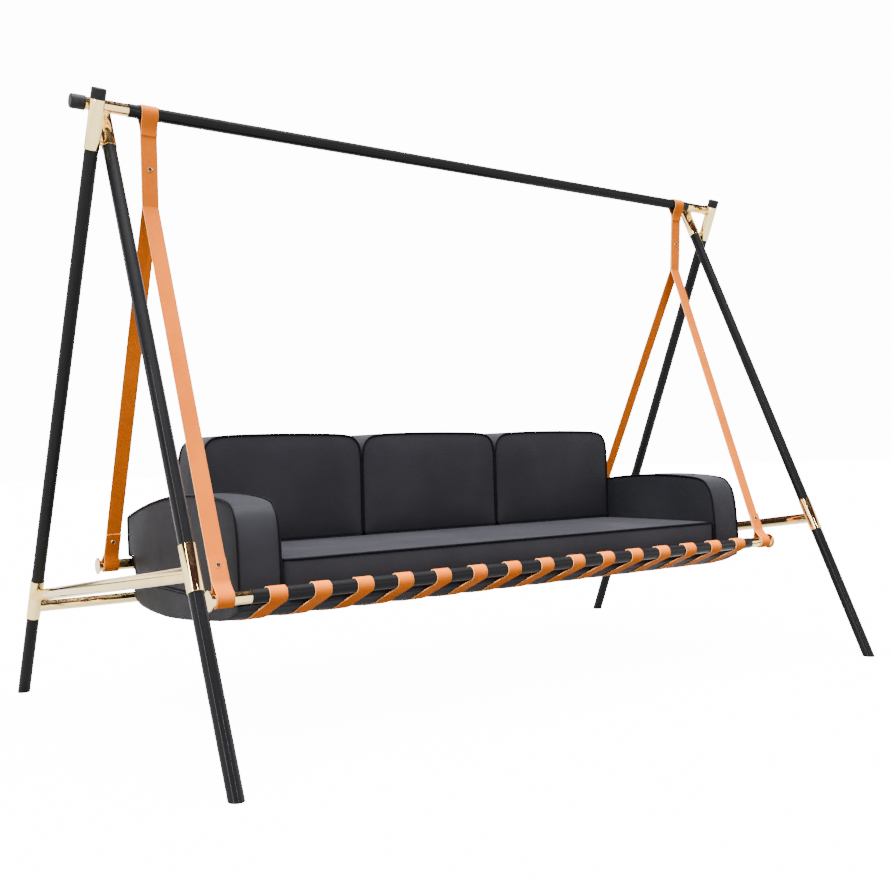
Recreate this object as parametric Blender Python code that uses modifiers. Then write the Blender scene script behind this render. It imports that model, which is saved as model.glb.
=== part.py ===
"""Porch swing: a sofa slung on leather straps from a crossed-leg tube frame.

Metres, +Z up, +X along the top bar, +Y towards the back. The origin is on the floor, midway
between the feet. The frame stands still, and everything in the seat hangs from the bar and
swings about the bar's axis, so the seat's pieces are children of an empty on that axis.
"""
import math

import bmesh
import bpy
from mathutils import Matrix, Vector
from mathutils.geometry import intersect_point_line

# Driving dimensions. A "half" is measured from the middle of the swing along X, a "drop" down
# from the top bar's axis, and what has to fit or line up is worked out from its neighbours.
SEAM = 0.0003                 # gap that touching pieces keep
ROUND_STEPS = 32              # facets round a tube
TUBE_WALL = 0.002
SPIGOT_LENGTH = 0.060         # how far a brass end reaches into its black tube

SEAT_HALF_WIDTH = 1.110       # over the outsides of the arm cushions
BAR_HEIGHT = 1.950            # axis of the top bar above the floor
FOOT_HALF_DEPTH = 0.836       # feet, in front of and behind the bar
SEAT_DEPTH = 1.050            # between the axes of the seat's two rails

# Seat rails: (y, z) of their axes
RAIL_RADIUS = 0.0212
RAIL_FRONT = (-0.448, 0.4375)
RAIL_RISE = 0.024                 # the back rail's height over the front one
RAIL_BACK = (RAIL_FRONT[0] + SEAT_DEPTH, RAIL_FRONT[1] + RAIL_RISE)
STRAP_WIDTH = 0.053
STRAP_THICKNESS = 0.004
STRAP_LEAN = 0.040                # the straps' tops stand this much further out than their feet
STRAP_FOOT_HALF = SEAT_HALF_WIDTH + STRAP_WIDTH / 2 + 0.0465
STRAP_TOP_HALF = STRAP_FOOT_HALF + STRAP_LEAN
DISC_THICKNESS = 0.005
RAIL_HALF = STRAP_FOOT_HALF + STRAP_WIDTH / 2 + 0.0152 + DISC_THICKNESS   # over the end discs
RAIL_END_RADIUS = RAIL_RADIUS - 0.0015
RAIL_END_WALL = 0.003
RAIL_END_LENGTH = 0.129           # brass to be seen, with its end disc
DISC_RADIUS = RAIL_END_RADIUS + STRAP_THICKNESS + 0.0062

# Top bar
BAR_RADIUS = 0.0212
BAR_HALF = STRAP_TOP_HALF + STRAP_WIDTH / 2 + 0.0385      # black part of the bar
BAR_END_RADIUS = BAR_RADIUS - 0.0015
BAR_END_WALL = 0.003
BAR_CAP_LENGTH = 0.0445
BAR_CAP_RADIUS = BAR_END_RADIUS + 0.0032
STOP_RING_WIDTH = 0.006       # rings that keep each hanging strap in its place
STOP_RING_HEIGHT = 0.0017
STOP_RING_PLAY = 0.002

# Legs. The outer ones have their feet at the back and cross in front of the bar, the inner ones
# have their feet at the front and cross behind it.
LEG_RADIUS = 0.0212
COLLAR_RADIUS = LEG_RADIUS + 0.0020
LEG_PASS = COLLAR_RADIUS + BAR_RADIUS + 0.0177    # how far past the bar a leg has got, level with it
OUTER_TOP_HALF = BAR_HALF + 0.1105
INNER_TOP_HALF = OUTER_TOP_HALF - 2 * COLLAR_RADIUS - 0.0045
OUTER_FOOT_HALF = OUTER_TOP_HALF + 0.0345
INNER_FOOT_HALF = INNER_TOP_HALF - 0.0280
BAR_END_HALF = OUTER_TOP_HALF + COLLAR_RADIUS + 0.0325    # brass end of the bar, inside its cap
BAR_CAP_HALF = BAR_END_HALF + 0.012
FOOT_PLUG = 0.060             # solid end of a leg, cut level with the floor
OUTER_LEG_TOP = BAR_HEIGHT + 0.016
INNER_LEG_TOP = BAR_HEIGHT - 0.005
LEG_CAP_TOP = OUTER_LEG_TOP + 0.012
LEG_CAP_RADIUS = LEG_RADIUS + 0.0018
BOSS_RADIUS = 0.006           # studs that carry the bar on the leg collars
LEG_CROSSING = BAR_HEIGHT * FOOT_HALF_DEPTH / (FOOT_HALF_DEPTH + LEG_PASS)    # height where they cross
CROSS_BOLT_RADIUS = 0.005     # bolts that join the legs just above where they cross
CROSS_BOLT_HEIGHT = LEG_CROSSING + 0.0145

# Crossbars and stretcher, and the collars on the legs: lowest and highest point of each axis
CROSSBAR_RADIUS = 0.0205
CROSSBAR_BACK_HEIGHT = 0.3680
CROSSBAR_FRONT_HEIGHT = 0.5340
STRETCHER_RADIUS = 0.0195
STRETCHER_HEIGHT = CROSSBAR_BACK_HEIGHT - CROSSBAR_RADIUS - STRETCHER_RADIUS - 0.0015
COLLAR_HEIGHTS = {
    "outer_upper": (LEG_CROSSING - 0.0075, BAR_HEIGHT - 0.003),
    "inner_upper": (LEG_CROSSING + 0.0065, BAR_HEIGHT - 0.010),
    "outer_lower": (STRETCHER_HEIGHT - 0.0370, CROSSBAR_BACK_HEIGHT + 0.0560),
    "inner_lower": (CROSSBAR_FRONT_HEIGHT - 0.0480, CROSSBAR_FRONT_HEIGHT + 0.0740),
}

# Hanging straps
LOOP_SLACK = 0.0003               # by which a loop is looser than its tube
SPLIT_BACK = 0.0139               # where the two plies part: behind the bar, and its drop
SPLIT_DROP = 0.300
TOP_LAP_DROP = 0.071              # end of the ply lapped in front, under the bar
TOP_MERGE_DROP = 0.060            # where the plies close up under the bar
TOP_STUD_DROP = 0.179
RAIL_MERGE = 0.055                # above the rail's axis, where the bottom loop closes up
RAIL_LAP = {"front": 0.122, "back": 0.130}    # length of the lap above the rail's axis
FOOT_STUD_UP = 0.100              # stud through the lap, above the rail's axis
STUD_SHANK_RADIUS = 0.003
STUD_HEAD_RADIUS = 0.0075
STUD_HEAD_HEIGHT = 0.0022
STUD_HOLE_RADIUS = STUD_SHANK_RADIUS + SEAM

# Sling of bands. Its sag is (share of the way from the front rail to the back one, depth under
# the line between them), taken through the middle of the bands.
BAND_COUNT = 15
BAND_WIDTH = 0.056
BAND_THICKNESS = 0.0035
BAND_REACH = RAIL_HALF - RAIL_END_LENGTH - BAND_WIDTH / 2 - 0.0512    # half, to the end bands
SAG = [(0.074, 0.0593), (0.155, 0.0932), (0.341, 0.1202), (0.517, 0.1409), (0.698, 0.1533),
       (0.893, 0.1449), (0.977, 0.1090), (1.0076, 0.0547)]

# Cushions
CUSHION_GAP = 0.0006
ARM_WIDTH = 0.140
ARM_INNER_HALF = SEAT_HALF_WIDTH - ARM_WIDTH
PAD_TOP = RAIL_FRONT[1] - 0.0335
PAD_FRONT = RAIL_FRONT[0] + 0.063
PAD_BACK = RAIL_BACK[0] - 0.034
SEAT_THICKNESS = 0.127
SEAT_FRONT = RAIL_FRONT[0] + 0.059
SEAT_BACK = RAIL_BACK[0] - 0.030
SEAT_TOP = PAD_TOP + SEAT_THICKNESS
BACK_FRONT = RAIL_BACK[0] - 0.364     # face of the back cushions that one leans on
BACK_REAR_LOW = RAIL_BACK[0] - 0.082
BACK_REAR_TOP = RAIL_BACK[0] - 0.134
BACK_HEIGHT = 0.393
BACK_TOP = SEAT_TOP + BACK_HEIGHT
BACK_COUNT = 3
ARM_HEIGHT = 0.322
ARM_BACK = RAIL_BACK[0] + 0.028
# Round the arm cushion from its front foot over its crowned top to its back, as
# (share of its depth, share of its height)
ARM_OUTLINE = [(0.000, 0.000), (0.002, 0.328), (0.015, 0.576), (0.036, 0.794), (0.063, 0.894),
               (0.122, 0.944), (0.262, 0.988), (0.400, 1.000), (0.538, 0.988), (0.705, 0.944),
               (0.872, 0.873), (0.985, 0.795), (1.000, 0.739)]
ARM_RAIL_CLEARANCE = 0.0015

SIDES = (("left", -1), ("right", 1))

for leftover in list(bpy.data.objects):
    bpy.data.objects.remove(leftover, do_unlink=True)
swing = bpy.data.collections.new("porch_swing")
tools = bpy.data.collections.new("cutters")
for group in (swing, tools):
    bpy.context.scene.collection.children.link(group)


# Materials ---------------------------------------------------------------------------------------

def finish(name, colour, roughness, metallic):
    """A plain Principled material."""
    made = bpy.data.materials.new(name)
    made.use_nodes = True
    shader = made.node_tree.nodes["Principled BSDF"]
    shader.inputs["Base Color"].default_value = (*colour, 1)
    shader.inputs["Roughness"].default_value = roughness
    shader.inputs["Metallic"].default_value = metallic
    return made


BLACK = finish("black_coat", (0.020, 0.021, 0.023), 0.38, 0.3)
CAP = finish("black_cap", (0.016, 0.016, 0.017), 0.60, 0.0)
BRASS = finish("pale_brass", (0.78, 0.66, 0.46), 0.14, 1.0)
LEATHER = finish("tan_leather", (0.62, 0.27, 0.10), 0.55, 0.0)
UPHOLSTERY = finish("black_upholstery", (0.030, 0.030, 0.033), 0.45, 0.0)


# Making and placing pieces -----------------------------------------------------------------------

def empty(name, location):
    """A plain empty, as the parent of a group of pieces."""
    made = bpy.data.objects.new(name, None)
    made.location = location
    swing.objects.link(made)
    return made


frame_root = empty("frame", (0, 0, 0))
swing_axis = empty("swing_axis", (0, 0, BAR_HEIGHT))


def keep(piece, material, parent):
    """File a piece under its parent, leaving it where it stands."""
    piece.data.materials.append(material)
    piece.parent = parent
    piece.matrix_parent_inverse = Matrix.Translation(parent.location).inverted()
    return piece


def new_object(name, mesh, group):
    """An object for a mesh, in a collection."""
    made = bpy.data.objects.new(name, mesh)
    group.objects.link(made)
    if group is tools:
        made.hide_render = True
        made.display_type = "WIRE"
    return made


def aim(piece, start, end):
    """Stand a piece that was made along +Z at start, pointing to end."""
    piece.location = start
    piece.rotation_mode = "QUATERNION"
    piece.rotation_quaternion = (Vector(end) - Vector(start)).to_track_quat("Z", "Y")


def turned(name, profile, group=swing, steps=ROUND_STEPS):
    """A turned piece: a (radius, height) profile spun about Z, listed down its outer side."""
    mesh = bpy.data.meshes.new(name)
    closed = profile[0][0] > 0 or profile[-1][0] > 0
    count = len(profile)
    edges = [(i, i + 1) for i in range(count - 1)]
    if closed:
        edges.append((count - 1, 0))
    mesh.from_pydata([(radius, 0, height) for radius, height in profile], edges, [])
    made = new_object(name, mesh, group)
    spin = made.modifiers.new("spin", "SCREW")
    spin.steps = spin.render_steps = steps
    spin.use_merge_vertices = True
    spin.merge_threshold = 0.0001
    spin.use_smooth_shade = True
    return made


def pipe_profile(radius, wall, low, high):
    """Section of an open pipe."""
    bore = radius - wall
    return [(radius, high), (radius, low), (bore, low), (bore, high)]


def rod(name, radius, start, end, group=tools):
    """A solid round bar, as a cutter or as a stud to join on."""
    length = (Vector(end) - Vector(start)).length
    made = turned(name, [(0, length), (radius, length), (radius, 0), (0, 0)], group)
    aim(made, start, end)
    return made


def boolean(piece, operation, tool):
    """Cut or join a piece with a tool object."""
    step = piece.modifiers.new(operation.lower(), "BOOLEAN")
    step.operation = operation
    step.solver = "EXACT"
    step.object = tool


# Top bar -----------------------------------------------------------------------------------------

def bar_profile():
    """Black bar: a pipe with two low rings beside each hanging strap."""
    raised = BAR_RADIUS + STOP_RING_HEIGHT
    reach = STRAP_WIDTH / 2 + STOP_RING_PLAY
    outer = [(BAR_RADIUS, BAR_HALF)]
    for centre in (STRAP_TOP_HALF, -STRAP_TOP_HALF):
        for inner_edge in (centre + reach + STOP_RING_WIDTH, centre - reach):
            outer += [(BAR_RADIUS, inner_edge), (raised, inner_edge),
                      (raised, inner_edge - STOP_RING_WIDTH),
                      (BAR_RADIUS, inner_edge - STOP_RING_WIDTH)]
    outer.append((BAR_RADIUS, -BAR_HALF))
    bore = BAR_RADIUS - TUBE_WALL
    return outer + [(bore, -BAR_HALF), (bore, BAR_HALF)]


def leg_point(kind, side, height):
    """Point on a leg's axis. Outer legs rise forwards, inner legs rise backwards."""
    foot, top, facing = {"outer": (OUTER_FOOT_HALF, OUTER_TOP_HALF, 1),
                         "inner": (INNER_FOOT_HALF, INNER_TOP_HALF, -1)}[kind]
    share = height / BAR_HEIGHT
    depth = FOOT_HALF_DEPTH - (FOOT_HALF_DEPTH + LEG_PASS) * share
    return Vector((side * (foot + (top - foot) * share), facing * depth, height))


def nearest_to_bar(kind, side):
    """Point on a leg's axis that lies nearest to the bar's axis."""
    run = FOOT_HALF_DEPTH + LEG_PASS
    drop = LEG_PASS * run * BAR_HEIGHT / (run * run + BAR_HEIGHT * BAR_HEIGHT)
    return leg_point(kind, side, BAR_HEIGHT - drop)


bar = turned("top_bar", bar_profile())
aim(bar, (0, 0, BAR_HEIGHT), (1, 0, BAR_HEIGHT))
keep(bar, BLACK, frame_root)

for side_name, side in SIDES:
    spigot = BAR_RADIUS - TUBE_WALL - SEAM
    bore = BAR_END_RADIUS - BAR_END_WALL
    shoulder = BAR_HALF + SEAM
    brass_end = turned(f"bar_end_{side_name}", [
        (BAR_END_RADIUS, BAR_END_HALF), (BAR_END_RADIUS, shoulder), (spigot, shoulder),
        (spigot, BAR_HALF - SPIGOT_LENGTH), (bore, BAR_HALF - SPIGOT_LENGTH),
        (bore, BAR_END_HALF)])
    aim(brass_end, (0, 0, BAR_HEIGHT), (side, 0, BAR_HEIGHT))
    for kind in ("outer", "inner"):
        target = nearest_to_bar(kind, side)
        hub = Vector((target.x, 0, BAR_HEIGHT))
        arm = (target - hub).normalized()
        inside = hub + arm * (BAR_END_RADIUS - BAR_END_WALL / 2)
        outside = target - arm * (COLLAR_RADIUS + SEAM)
        boss = rod(f"boss_{kind}_{side_name}", BOSS_RADIUS, inside, outside)
        boolean(brass_end, "UNION", boss)
    keep(brass_end, BRASS, frame_root)

    cap_low = BAR_CAP_HALF - BAR_CAP_LENGTH
    socket = BAR_END_RADIUS + SEAM
    cap = turned(f"bar_cap_{side_name}", [
        (0, BAR_CAP_HALF), (BAR_CAP_RADIUS - 0.003, BAR_CAP_HALF),
        (BAR_CAP_RADIUS, BAR_CAP_HALF - 0.003), (BAR_CAP_RADIUS, cap_low), (socket, cap_low),
        (socket, BAR_END_HALF + SEAM), (0, BAR_END_HALF + SEAM)])
    aim(cap, (0, 0, BAR_HEIGHT), (side, 0, BAR_HEIGHT))
    keep(cap, CAP, frame_root)


# Legs, collars and caps --------------------------------------------------------------------------

FLOOR_CUT = 0.1
bpy.ops.mesh.primitive_cube_add(size=1)
floor_cutter = bpy.context.object
floor_cutter.name = "floor_cutter"
floor_cutter.scale = (4, 3, FLOOR_CUT)
floor_cutter.location = (0, 0, -FLOOR_CUT / 2)
floor_cutter.hide_render = True
floor_cutter.display_type = "WIRE"
for group in list(floor_cutter.users_collection):
    group.objects.unlink(floor_cutter)
tools.objects.link(floor_cutter)


def along_leg(kind, side, height):
    """Distance up a leg's axis from its foot."""
    return (leg_point(kind, side, height) - leg_point(kind, side, 0)).length


LEG_TOPS = {"outer": OUTER_LEG_TOP, "inner": INNER_LEG_TOP}
LEG_NAMES = {"outer": "back_leg", "inner": "front_leg"}

for side_name, side in SIDES:
    for kind in ("outer", "inner"):
        foot = leg_point(kind, side, 0)
        crown = leg_point(kind, side, BAR_HEIGHT)
        top = along_leg(kind, side, LEG_TOPS[kind])
        bore = LEG_RADIUS - TUBE_WALL
        below = 0.03
        leg = turned(f"{LEG_NAMES[kind]}_{side_name}", [
            (0, FOOT_PLUG), (bore, FOOT_PLUG), (bore, top), (LEG_RADIUS, top),
            (LEG_RADIUS, -below), (0, -below)])
        aim(leg, foot, crown)
        boolean(leg, "DIFFERENCE", floor_cutter)
        keep(leg, BLACK, frame_root)
        for level in ("upper", "lower"):
            low, high = COLLAR_HEIGHTS[f"{kind}_{level}"]
            wall = COLLAR_RADIUS - LEG_RADIUS - SEAM
            collar = turned(f"{LEG_NAMES[kind]}_{level}_collar_{side_name}",
                            pipe_profile(COLLAR_RADIUS, wall, along_leg(kind, side, low),
                                         along_leg(kind, side, high)))
            aim(collar, foot, crown)
            if (kind, level) == ("outer", "upper"):
                start = leg_point("outer", side, CROSS_BOLT_HEIGHT)
                end, _ = intersect_point_line(start, leg_point("inner", side, 0),
                                              leg_point("inner", side, BAR_HEIGHT))
                across = (end - start).normalized()
                lean = abs(across.dot((crown - foot).normalized()))
                root = LEG_RADIUS + SEAM + wall / 2 + CROSS_BOLT_RADIUS * lean
                bolt = rod(f"cross_bolt_{side_name}", CROSS_BOLT_RADIUS,
                           start + across * (root / math.sqrt(1 - lean * lean)),
                           end - across * (COLLAR_RADIUS + SEAM))
                boolean(collar, "UNION", bolt)
            keep(collar, BRASS, frame_root)

    foot = leg_point("outer", side, 0)
    low = along_leg("outer", side, COLLAR_HEIGHTS["outer_upper"][1]) + SEAM
    tube_end = along_leg("outer", side, OUTER_LEG_TOP)
    high = along_leg("outer", side, LEG_CAP_TOP)
    socket = LEG_RADIUS + SEAM
    leg_cap = turned(f"back_leg_cap_{side_name}", [
        (0, high), (LEG_CAP_RADIUS - 0.002, high), (LEG_CAP_RADIUS, high - 0.002),
        (LEG_CAP_RADIUS, low), (socket, low), (socket, tube_end + SEAM), (0, tube_end + SEAM)])
    aim(leg_cap, foot, leg_point("outer", side, BAR_HEIGHT))
    keep(leg_cap, CAP, frame_root)


# Crossbars and stretcher -------------------------------------------------------------------------

def coped_pipe(name, radius, start, end, mates):
    """A brass pipe between two points, its ends cut round the collars that it meets."""
    length = (Vector(end) - Vector(start)).length
    made = turned(name, pipe_profile(radius, TUBE_WALL, 0, length))
    aim(made, start, end)
    for kind, side, height in mates:
        reach = 0.09
        cutter = rod(f"cope_{name}_{kind}_{'right' if side > 0 else 'left'}", COLLAR_RADIUS + SEAM,
                     leg_point(kind, side, height - reach), leg_point(kind, side, height + reach))
        boolean(made, "DIFFERENCE", cutter)
    return keep(made, BRASS, frame_root)


for side_name, side in SIDES:
    coped_pipe(f"side_crossbar_{side_name}", CROSSBAR_RADIUS,
               leg_point("outer", side, CROSSBAR_BACK_HEIGHT),
               leg_point("inner", side, CROSSBAR_FRONT_HEIGHT),
               [("outer", side, CROSSBAR_BACK_HEIGHT), ("inner", side, CROSSBAR_FRONT_HEIGHT)])
coped_pipe("rear_stretcher", STRETCHER_RADIUS, leg_point("outer", -1, STRETCHER_HEIGHT),
           leg_point("outer", 1, STRETCHER_HEIGHT),
           [("outer", -1, STRETCHER_HEIGHT), ("outer", 1, STRETCHER_HEIGHT)])


# Seat rails --------------------------------------------------------------------------------------

RAILS = (("front", RAIL_FRONT), ("back", RAIL_BACK))

for rail_name, (rail_y, rail_z) in RAILS:
    tube_half = RAIL_HALF - RAIL_END_LENGTH
    rail = turned(f"{rail_name}_rail", pipe_profile(RAIL_RADIUS, TUBE_WALL, -tube_half, tube_half))
    aim(rail, (0, rail_y, rail_z), (1, rail_y, rail_z))
    keep(rail, BLACK, swing_axis)
    for side_name, side in SIDES:
        disc_low = RAIL_HALF - DISC_THICKNESS
        shoulder = tube_half + SEAM
        spigot = RAIL_RADIUS - TUBE_WALL - SEAM
        bore = RAIL_END_RADIUS - RAIL_END_WALL
        chamfer = 0.0012
        rail_end = turned(f"{rail_name}_rail_end_{side_name}", [
            (0, RAIL_HALF), (DISC_RADIUS - chamfer, RAIL_HALF), (DISC_RADIUS, RAIL_HALF - chamfer),
            (DISC_RADIUS, disc_low), (RAIL_END_RADIUS, disc_low), (RAIL_END_RADIUS, shoulder),
            (spigot, shoulder), (spigot, tube_half - SPIGOT_LENGTH),
            (bore, tube_half - SPIGOT_LENGTH), (bore, disc_low), (0, disc_low)])
        aim(rail_end, (0, rail_y, rail_z), (side, rail_y, rail_z))
        keep(rail_end, BRASS, swing_axis)


# Leather ribbons ---------------------------------------------------------------------------------

def arc(centre, radius, start, end, count, level=(1, 0)):
    """Points round a circle, set out so that the flats between them stay clear of it.

    The angles are in degrees, from the direction `level` towards the one a quarter turn on.
    """
    level = Vector(level)
    rising = Vector((-level.y, level.x))
    angles = [math.radians(start + (end - start) * i / count) for i in range(count + 1)]
    outside = radius / math.cos(math.radians((end - start) / count / 2))
    return [Vector(centre) + level * (outside * math.cos(a)) + rising * (outside * math.sin(a))
            for a in angles]


def smooth_through(points, per_span):
    """A smooth curve through points in a plane (Catmull-Rom)."""
    points = [Vector(p) for p in points]
    padded = [2 * points[0] - points[1], *points, 2 * points[-1] - points[-2]]
    made = []
    for a, b, c, d in zip(padded, padded[1:], padded[2:], padded[3:]):
        for i in range(per_span):
            t = i / per_span
            made.append(0.5 * (2 * b + (c - a) * t + (2 * a - 5 * b + 4 * c - d) * t * t
                               + (3 * b - a - 3 * c + d) * t ** 3))
    return made + [points[-1]]


def ribbon(name, path, width, thickness, x_at, material):
    """A strap: a (y, z) path at the middle of its thickness, width along X."""
    mesh = bpy.data.meshes.new(name)
    form = bmesh.new()
    rows = []
    for point in path:
        centre = x_at(point[1])
        rows.append([form.verts.new((centre + half * width / 2, point[0], point[1]))
                     for half in (-1, 1)])
    for near, far in zip(rows, rows[1:]):
        form.faces.new((near[0], near[1], far[1], far[0]))
    form.to_mesh(mesh)
    form.free()
    made = new_object(name, mesh, swing)
    made.location = swing_axis.location
    mesh.transform(Matrix.Translation(-swing_axis.location))
    wall = made.modifiers.new("thickness", "SOLIDIFY")
    wall.thickness = thickness
    wall.offset = 0
    wall.use_even_offset = True
    return keep(made, material, swing_axis)


def smoothstep(t):
    """Eased share from 0 to 1."""
    return t * t * (3 - 2 * t)


def eased_leg(origin, down, across, from_offset, to_offset, from_reach, to_reach, count):
    """Points that run along a line while they drift across it, from one offset to another."""
    made = []
    for i in range(count + 1):
        t = i / count
        reach = from_reach + (to_reach - from_reach) * t
        offset = from_offset + (to_offset - from_offset) * smoothstep(t)
        made.append(origin + down * reach + across * offset)
    return made


bar_centre = Vector((0, BAR_HEIGHT))
split = Vector((SPLIT_BACK, BAR_HEIGHT - SPLIT_DROP))
double_down = (split - bar_centre).normalized()
double_back = Vector((-double_down.y, double_down.x))     # across the double ply, towards +Y
PLY = STRAP_THICKNESS + SEAM
BAR_WRAP = BAR_RADIUS + SEAM + LOOP_SLACK + STRAP_THICKNESS / 2
RAIL_WRAP = RAIL_END_RADIUS + SEAM + LOOP_SLACK + STRAP_THICKNESS / 2


def strap_x(side):
    """Where a hanging strap's middle stands, at a height."""
    def at(height):
        share = (BAR_HEIGHT - height) / (BAR_HEIGHT - RAIL_BACK[1])
        return side * (STRAP_TOP_HALF + (STRAP_FOOT_HALF - STRAP_TOP_HALF) * min(max(share, 0), 1))
    return at


def rail_loop(rail, start, lap):
    """From a strap's line, down behind a rail, round under it and up to the end of the lap."""
    centre = Vector(rail)
    up = (start - centre).normalized()
    back = Vector((up.y, -up.x))
    behind = eased_leg(centre, up, back, 0, RAIL_WRAP, RAIL_MERGE, 0, 10)
    turn = arc(centre, RAIL_WRAP, 0, -180, 12, level=back)[1:-1]
    before = eased_leg(centre, up, back, -RAIL_WRAP, -PLY, 0, RAIL_MERGE, 10)
    return behind + turn + before + [centre + up * lap - back * PLY]


def stud_point(rail, start):
    """Middle of the two plies where a rail's stud goes through, and the way it points."""
    centre = Vector(rail)
    up = (start - centre).normalized()
    back = Vector((up.y, -up.x))
    return centre + up * FOOT_STUD_UP - back * (PLY / 2), back


def drill(strap, x, point, way):
    """A stud hole through a strap."""
    reach = 0.02
    start = Vector((x, *(point - way * reach)))
    end = Vector((x, *(point + way * reach)))
    cutter = rod(f"hole_{strap.name}_{round(point.y * 1000)}", STUD_HOLE_RADIUS, start, end)
    boolean(strap, "DIFFERENCE", cutter)


def stud(name, x, point, way):
    """A two-headed stud that clamps two plies together."""
    inner = PLY + STRAP_THICKNESS + SEAM
    low, high = -inner / 2, inner / 2
    dome = 0.0008
    made = turned(name, [
        (0, high + STUD_HEAD_HEIGHT), (STUD_HEAD_RADIUS * 0.7, high + STUD_HEAD_HEIGHT - dome / 2),
        (STUD_HEAD_RADIUS, high + dome), (STUD_HEAD_RADIUS, high), (STUD_SHANK_RADIUS, high),
        (STUD_SHANK_RADIUS, low), (STUD_HEAD_RADIUS, low), (STUD_HEAD_RADIUS, low - dome),
        (STUD_HEAD_RADIUS * 0.7, low - STUD_HEAD_HEIGHT + dome / 2), (0, low - STUD_HEAD_HEIGHT)],
        steps=20)
    centre = Vector((x, *point))
    aim(made, centre, centre + Vector((0, *(-way))))
    return keep(made, BRASS, swing_axis)


for side_name, side in SIDES:
    x_at = strap_x(side)
    over = arc(bar_centre, BAR_WRAP, 180, 0, 12, level=double_back)[1:-1]
    lap_offset = -1.5 * PLY
    lap = eased_leg(bar_centre, double_down, double_back, lap_offset, -BAR_WRAP, TOP_MERGE_DROP, 0, 10)
    behind = eased_leg(bar_centre, double_down, double_back, BAR_WRAP, PLY / 2, 0, TOP_MERGE_DROP, 10)
    split_reach = (split - bar_centre).length
    back_split = bar_centre + double_down * split_reach + double_back * PLY / 2
    front_split = bar_centre + double_down * split_reach - double_back * PLY / 2

    back_path = ([bar_centre + double_down * TOP_LAP_DROP + double_back * lap_offset] + lap + over
                 + behind + [back_split] + rail_loop(RAIL_BACK, back_split, RAIL_LAP["back"]))
    front_top = bar_centre + double_down * (TOP_MERGE_DROP + 0.004) - double_back * PLY / 2
    front_path = [front_top, front_split] + rail_loop(RAIL_FRONT, front_split, RAIL_LAP["front"])
    back_strap = ribbon(f"back_strap_{side_name}", back_path, STRAP_WIDTH, STRAP_THICKNESS, x_at,
                        LEATHER)
    front_strap = ribbon(f"front_strap_{side_name}", front_path, STRAP_WIDTH, STRAP_THICKNESS, x_at,
                         LEATHER)

    top_stud = bar_centre + double_down * TOP_STUD_DROP
    for strap in (back_strap, front_strap):
        drill(strap, x_at(top_stud.y), top_stud, double_back)
    stud(f"top_stud_{side_name}", x_at(top_stud.y), top_stud, double_back)
    for rail_name, rail, start, strap in (("front", RAIL_FRONT, front_split, front_strap),
                                          ("back", RAIL_BACK, back_split, back_strap)):
        point, way = stud_point(rail, start)
        drill(strap, x_at(point.y), point, way)
        stud(f"{rail_name}_stud_{side_name}", x_at(point.y), point, way)


# Sling bands -------------------------------------------------------------------------------------

rail_line = [Vector(RAIL_FRONT), Vector(RAIL_BACK)]
sling = [rail_line[0].lerp(rail_line[1], share) - Vector((0, depth)) for share, depth in SAG]


def band_path():
    """Over the front rail, round it, along the sag, round the back rail and over it."""
    wrap = RAIL_RADIUS + SEAM + BAND_THICKNESS / 2
    front = arc(RAIL_FRONT, wrap, 20, 240, 14)
    back = arc(RAIL_BACK, wrap, -10, 180, 12)
    sag = smooth_through([front[-1], *sling, back[0]], 2)
    return front[:-1] + sag + back[1:]


for number in range(BAND_COUNT):
    place = BAND_REACH * (2 * number / (BAND_COUNT - 1) - 1)
    ribbon(f"sling_band_{number + 1:02d}", band_path(), BAND_WIDTH, BAND_THICKNESS,
           lambda height, x=place: x, LEATHER)


# Cushions ----------------------------------------------------------------------------------------

def slab(name, outline, low_x, high_x, round_off):
    """A cushion with a (y, z) outline, standing between two X positions, its edges rounded."""
    mesh = bpy.data.meshes.new(name)
    form = bmesh.new()
    ring = [form.verts.new((low_x, y, z)) for y, z in outline]
    face = form.faces.new(ring)
    grown = bmesh.ops.extrude_face_region(form, geom=[face])
    moved = [v for v in grown["geom"] if isinstance(v, bmesh.types.BMVert)]
    bmesh.ops.translate(form, vec=(high_x - low_x, 0, 0), verts=moved)
    bmesh.ops.recalc_face_normals(form, faces=form.faces)
    form.to_mesh(mesh)
    form.free()
    mesh.transform(Matrix.Translation(-swing_axis.location))
    made = new_object(name, mesh, swing)
    made.location = swing_axis.location
    edge = made.modifiers.new("round_off", "BEVEL")
    edge.width = round_off
    edge.segments = 2
    edge.limit_method = "ANGLE"
    edge.angle_limit = math.radians(40)
    return keep(made, UPHOLSTERY, swing_axis)


clearance = BAND_THICKNESS / 2 + CUSHION_GAP
sag_line = smooth_through([arc(RAIL_FRONT, RAIL_RADIUS, 240, 240, 1)[0], *sling], 2)
pad_line = []
for near, far in zip(sag_line, sag_line[1:]):
    along = (far - near).normalized()
    pad_line.append((near + far) / 2 + Vector((-along.y, along.x)) * clearance)
ahead = max((p for p in pad_line if p.x <= PAD_FRONT), key=lambda p: p.x)
pad_bottom = [p for p in pad_line if PAD_FRONT < p.x < PAD_BACK and p.y < PAD_TOP - 0.01]
share = (PAD_FRONT - ahead.x) / (pad_bottom[0].x - ahead.x)
pad_outline = ([(PAD_FRONT, PAD_TOP), tuple(ahead.lerp(pad_bottom[0], share))]
               + [tuple(p) for p in pad_bottom] + [(PAD_BACK, PAD_TOP)])
slab("base_pad", pad_outline, -SEAT_HALF_WIDTH, SEAT_HALF_WIDTH, 0.004)

seat_low = PAD_TOP + CUSHION_GAP
seat_outline = [(SEAT_FRONT, seat_low), (SEAT_BACK, seat_low), (SEAT_BACK, SEAT_TOP),
                (SEAT_FRONT, SEAT_TOP)]
slab("seat_cushion", seat_outline, -ARM_INNER_HALF + CUSHION_GAP, ARM_INNER_HALF - CUSHION_GAP, 0.012)

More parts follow.
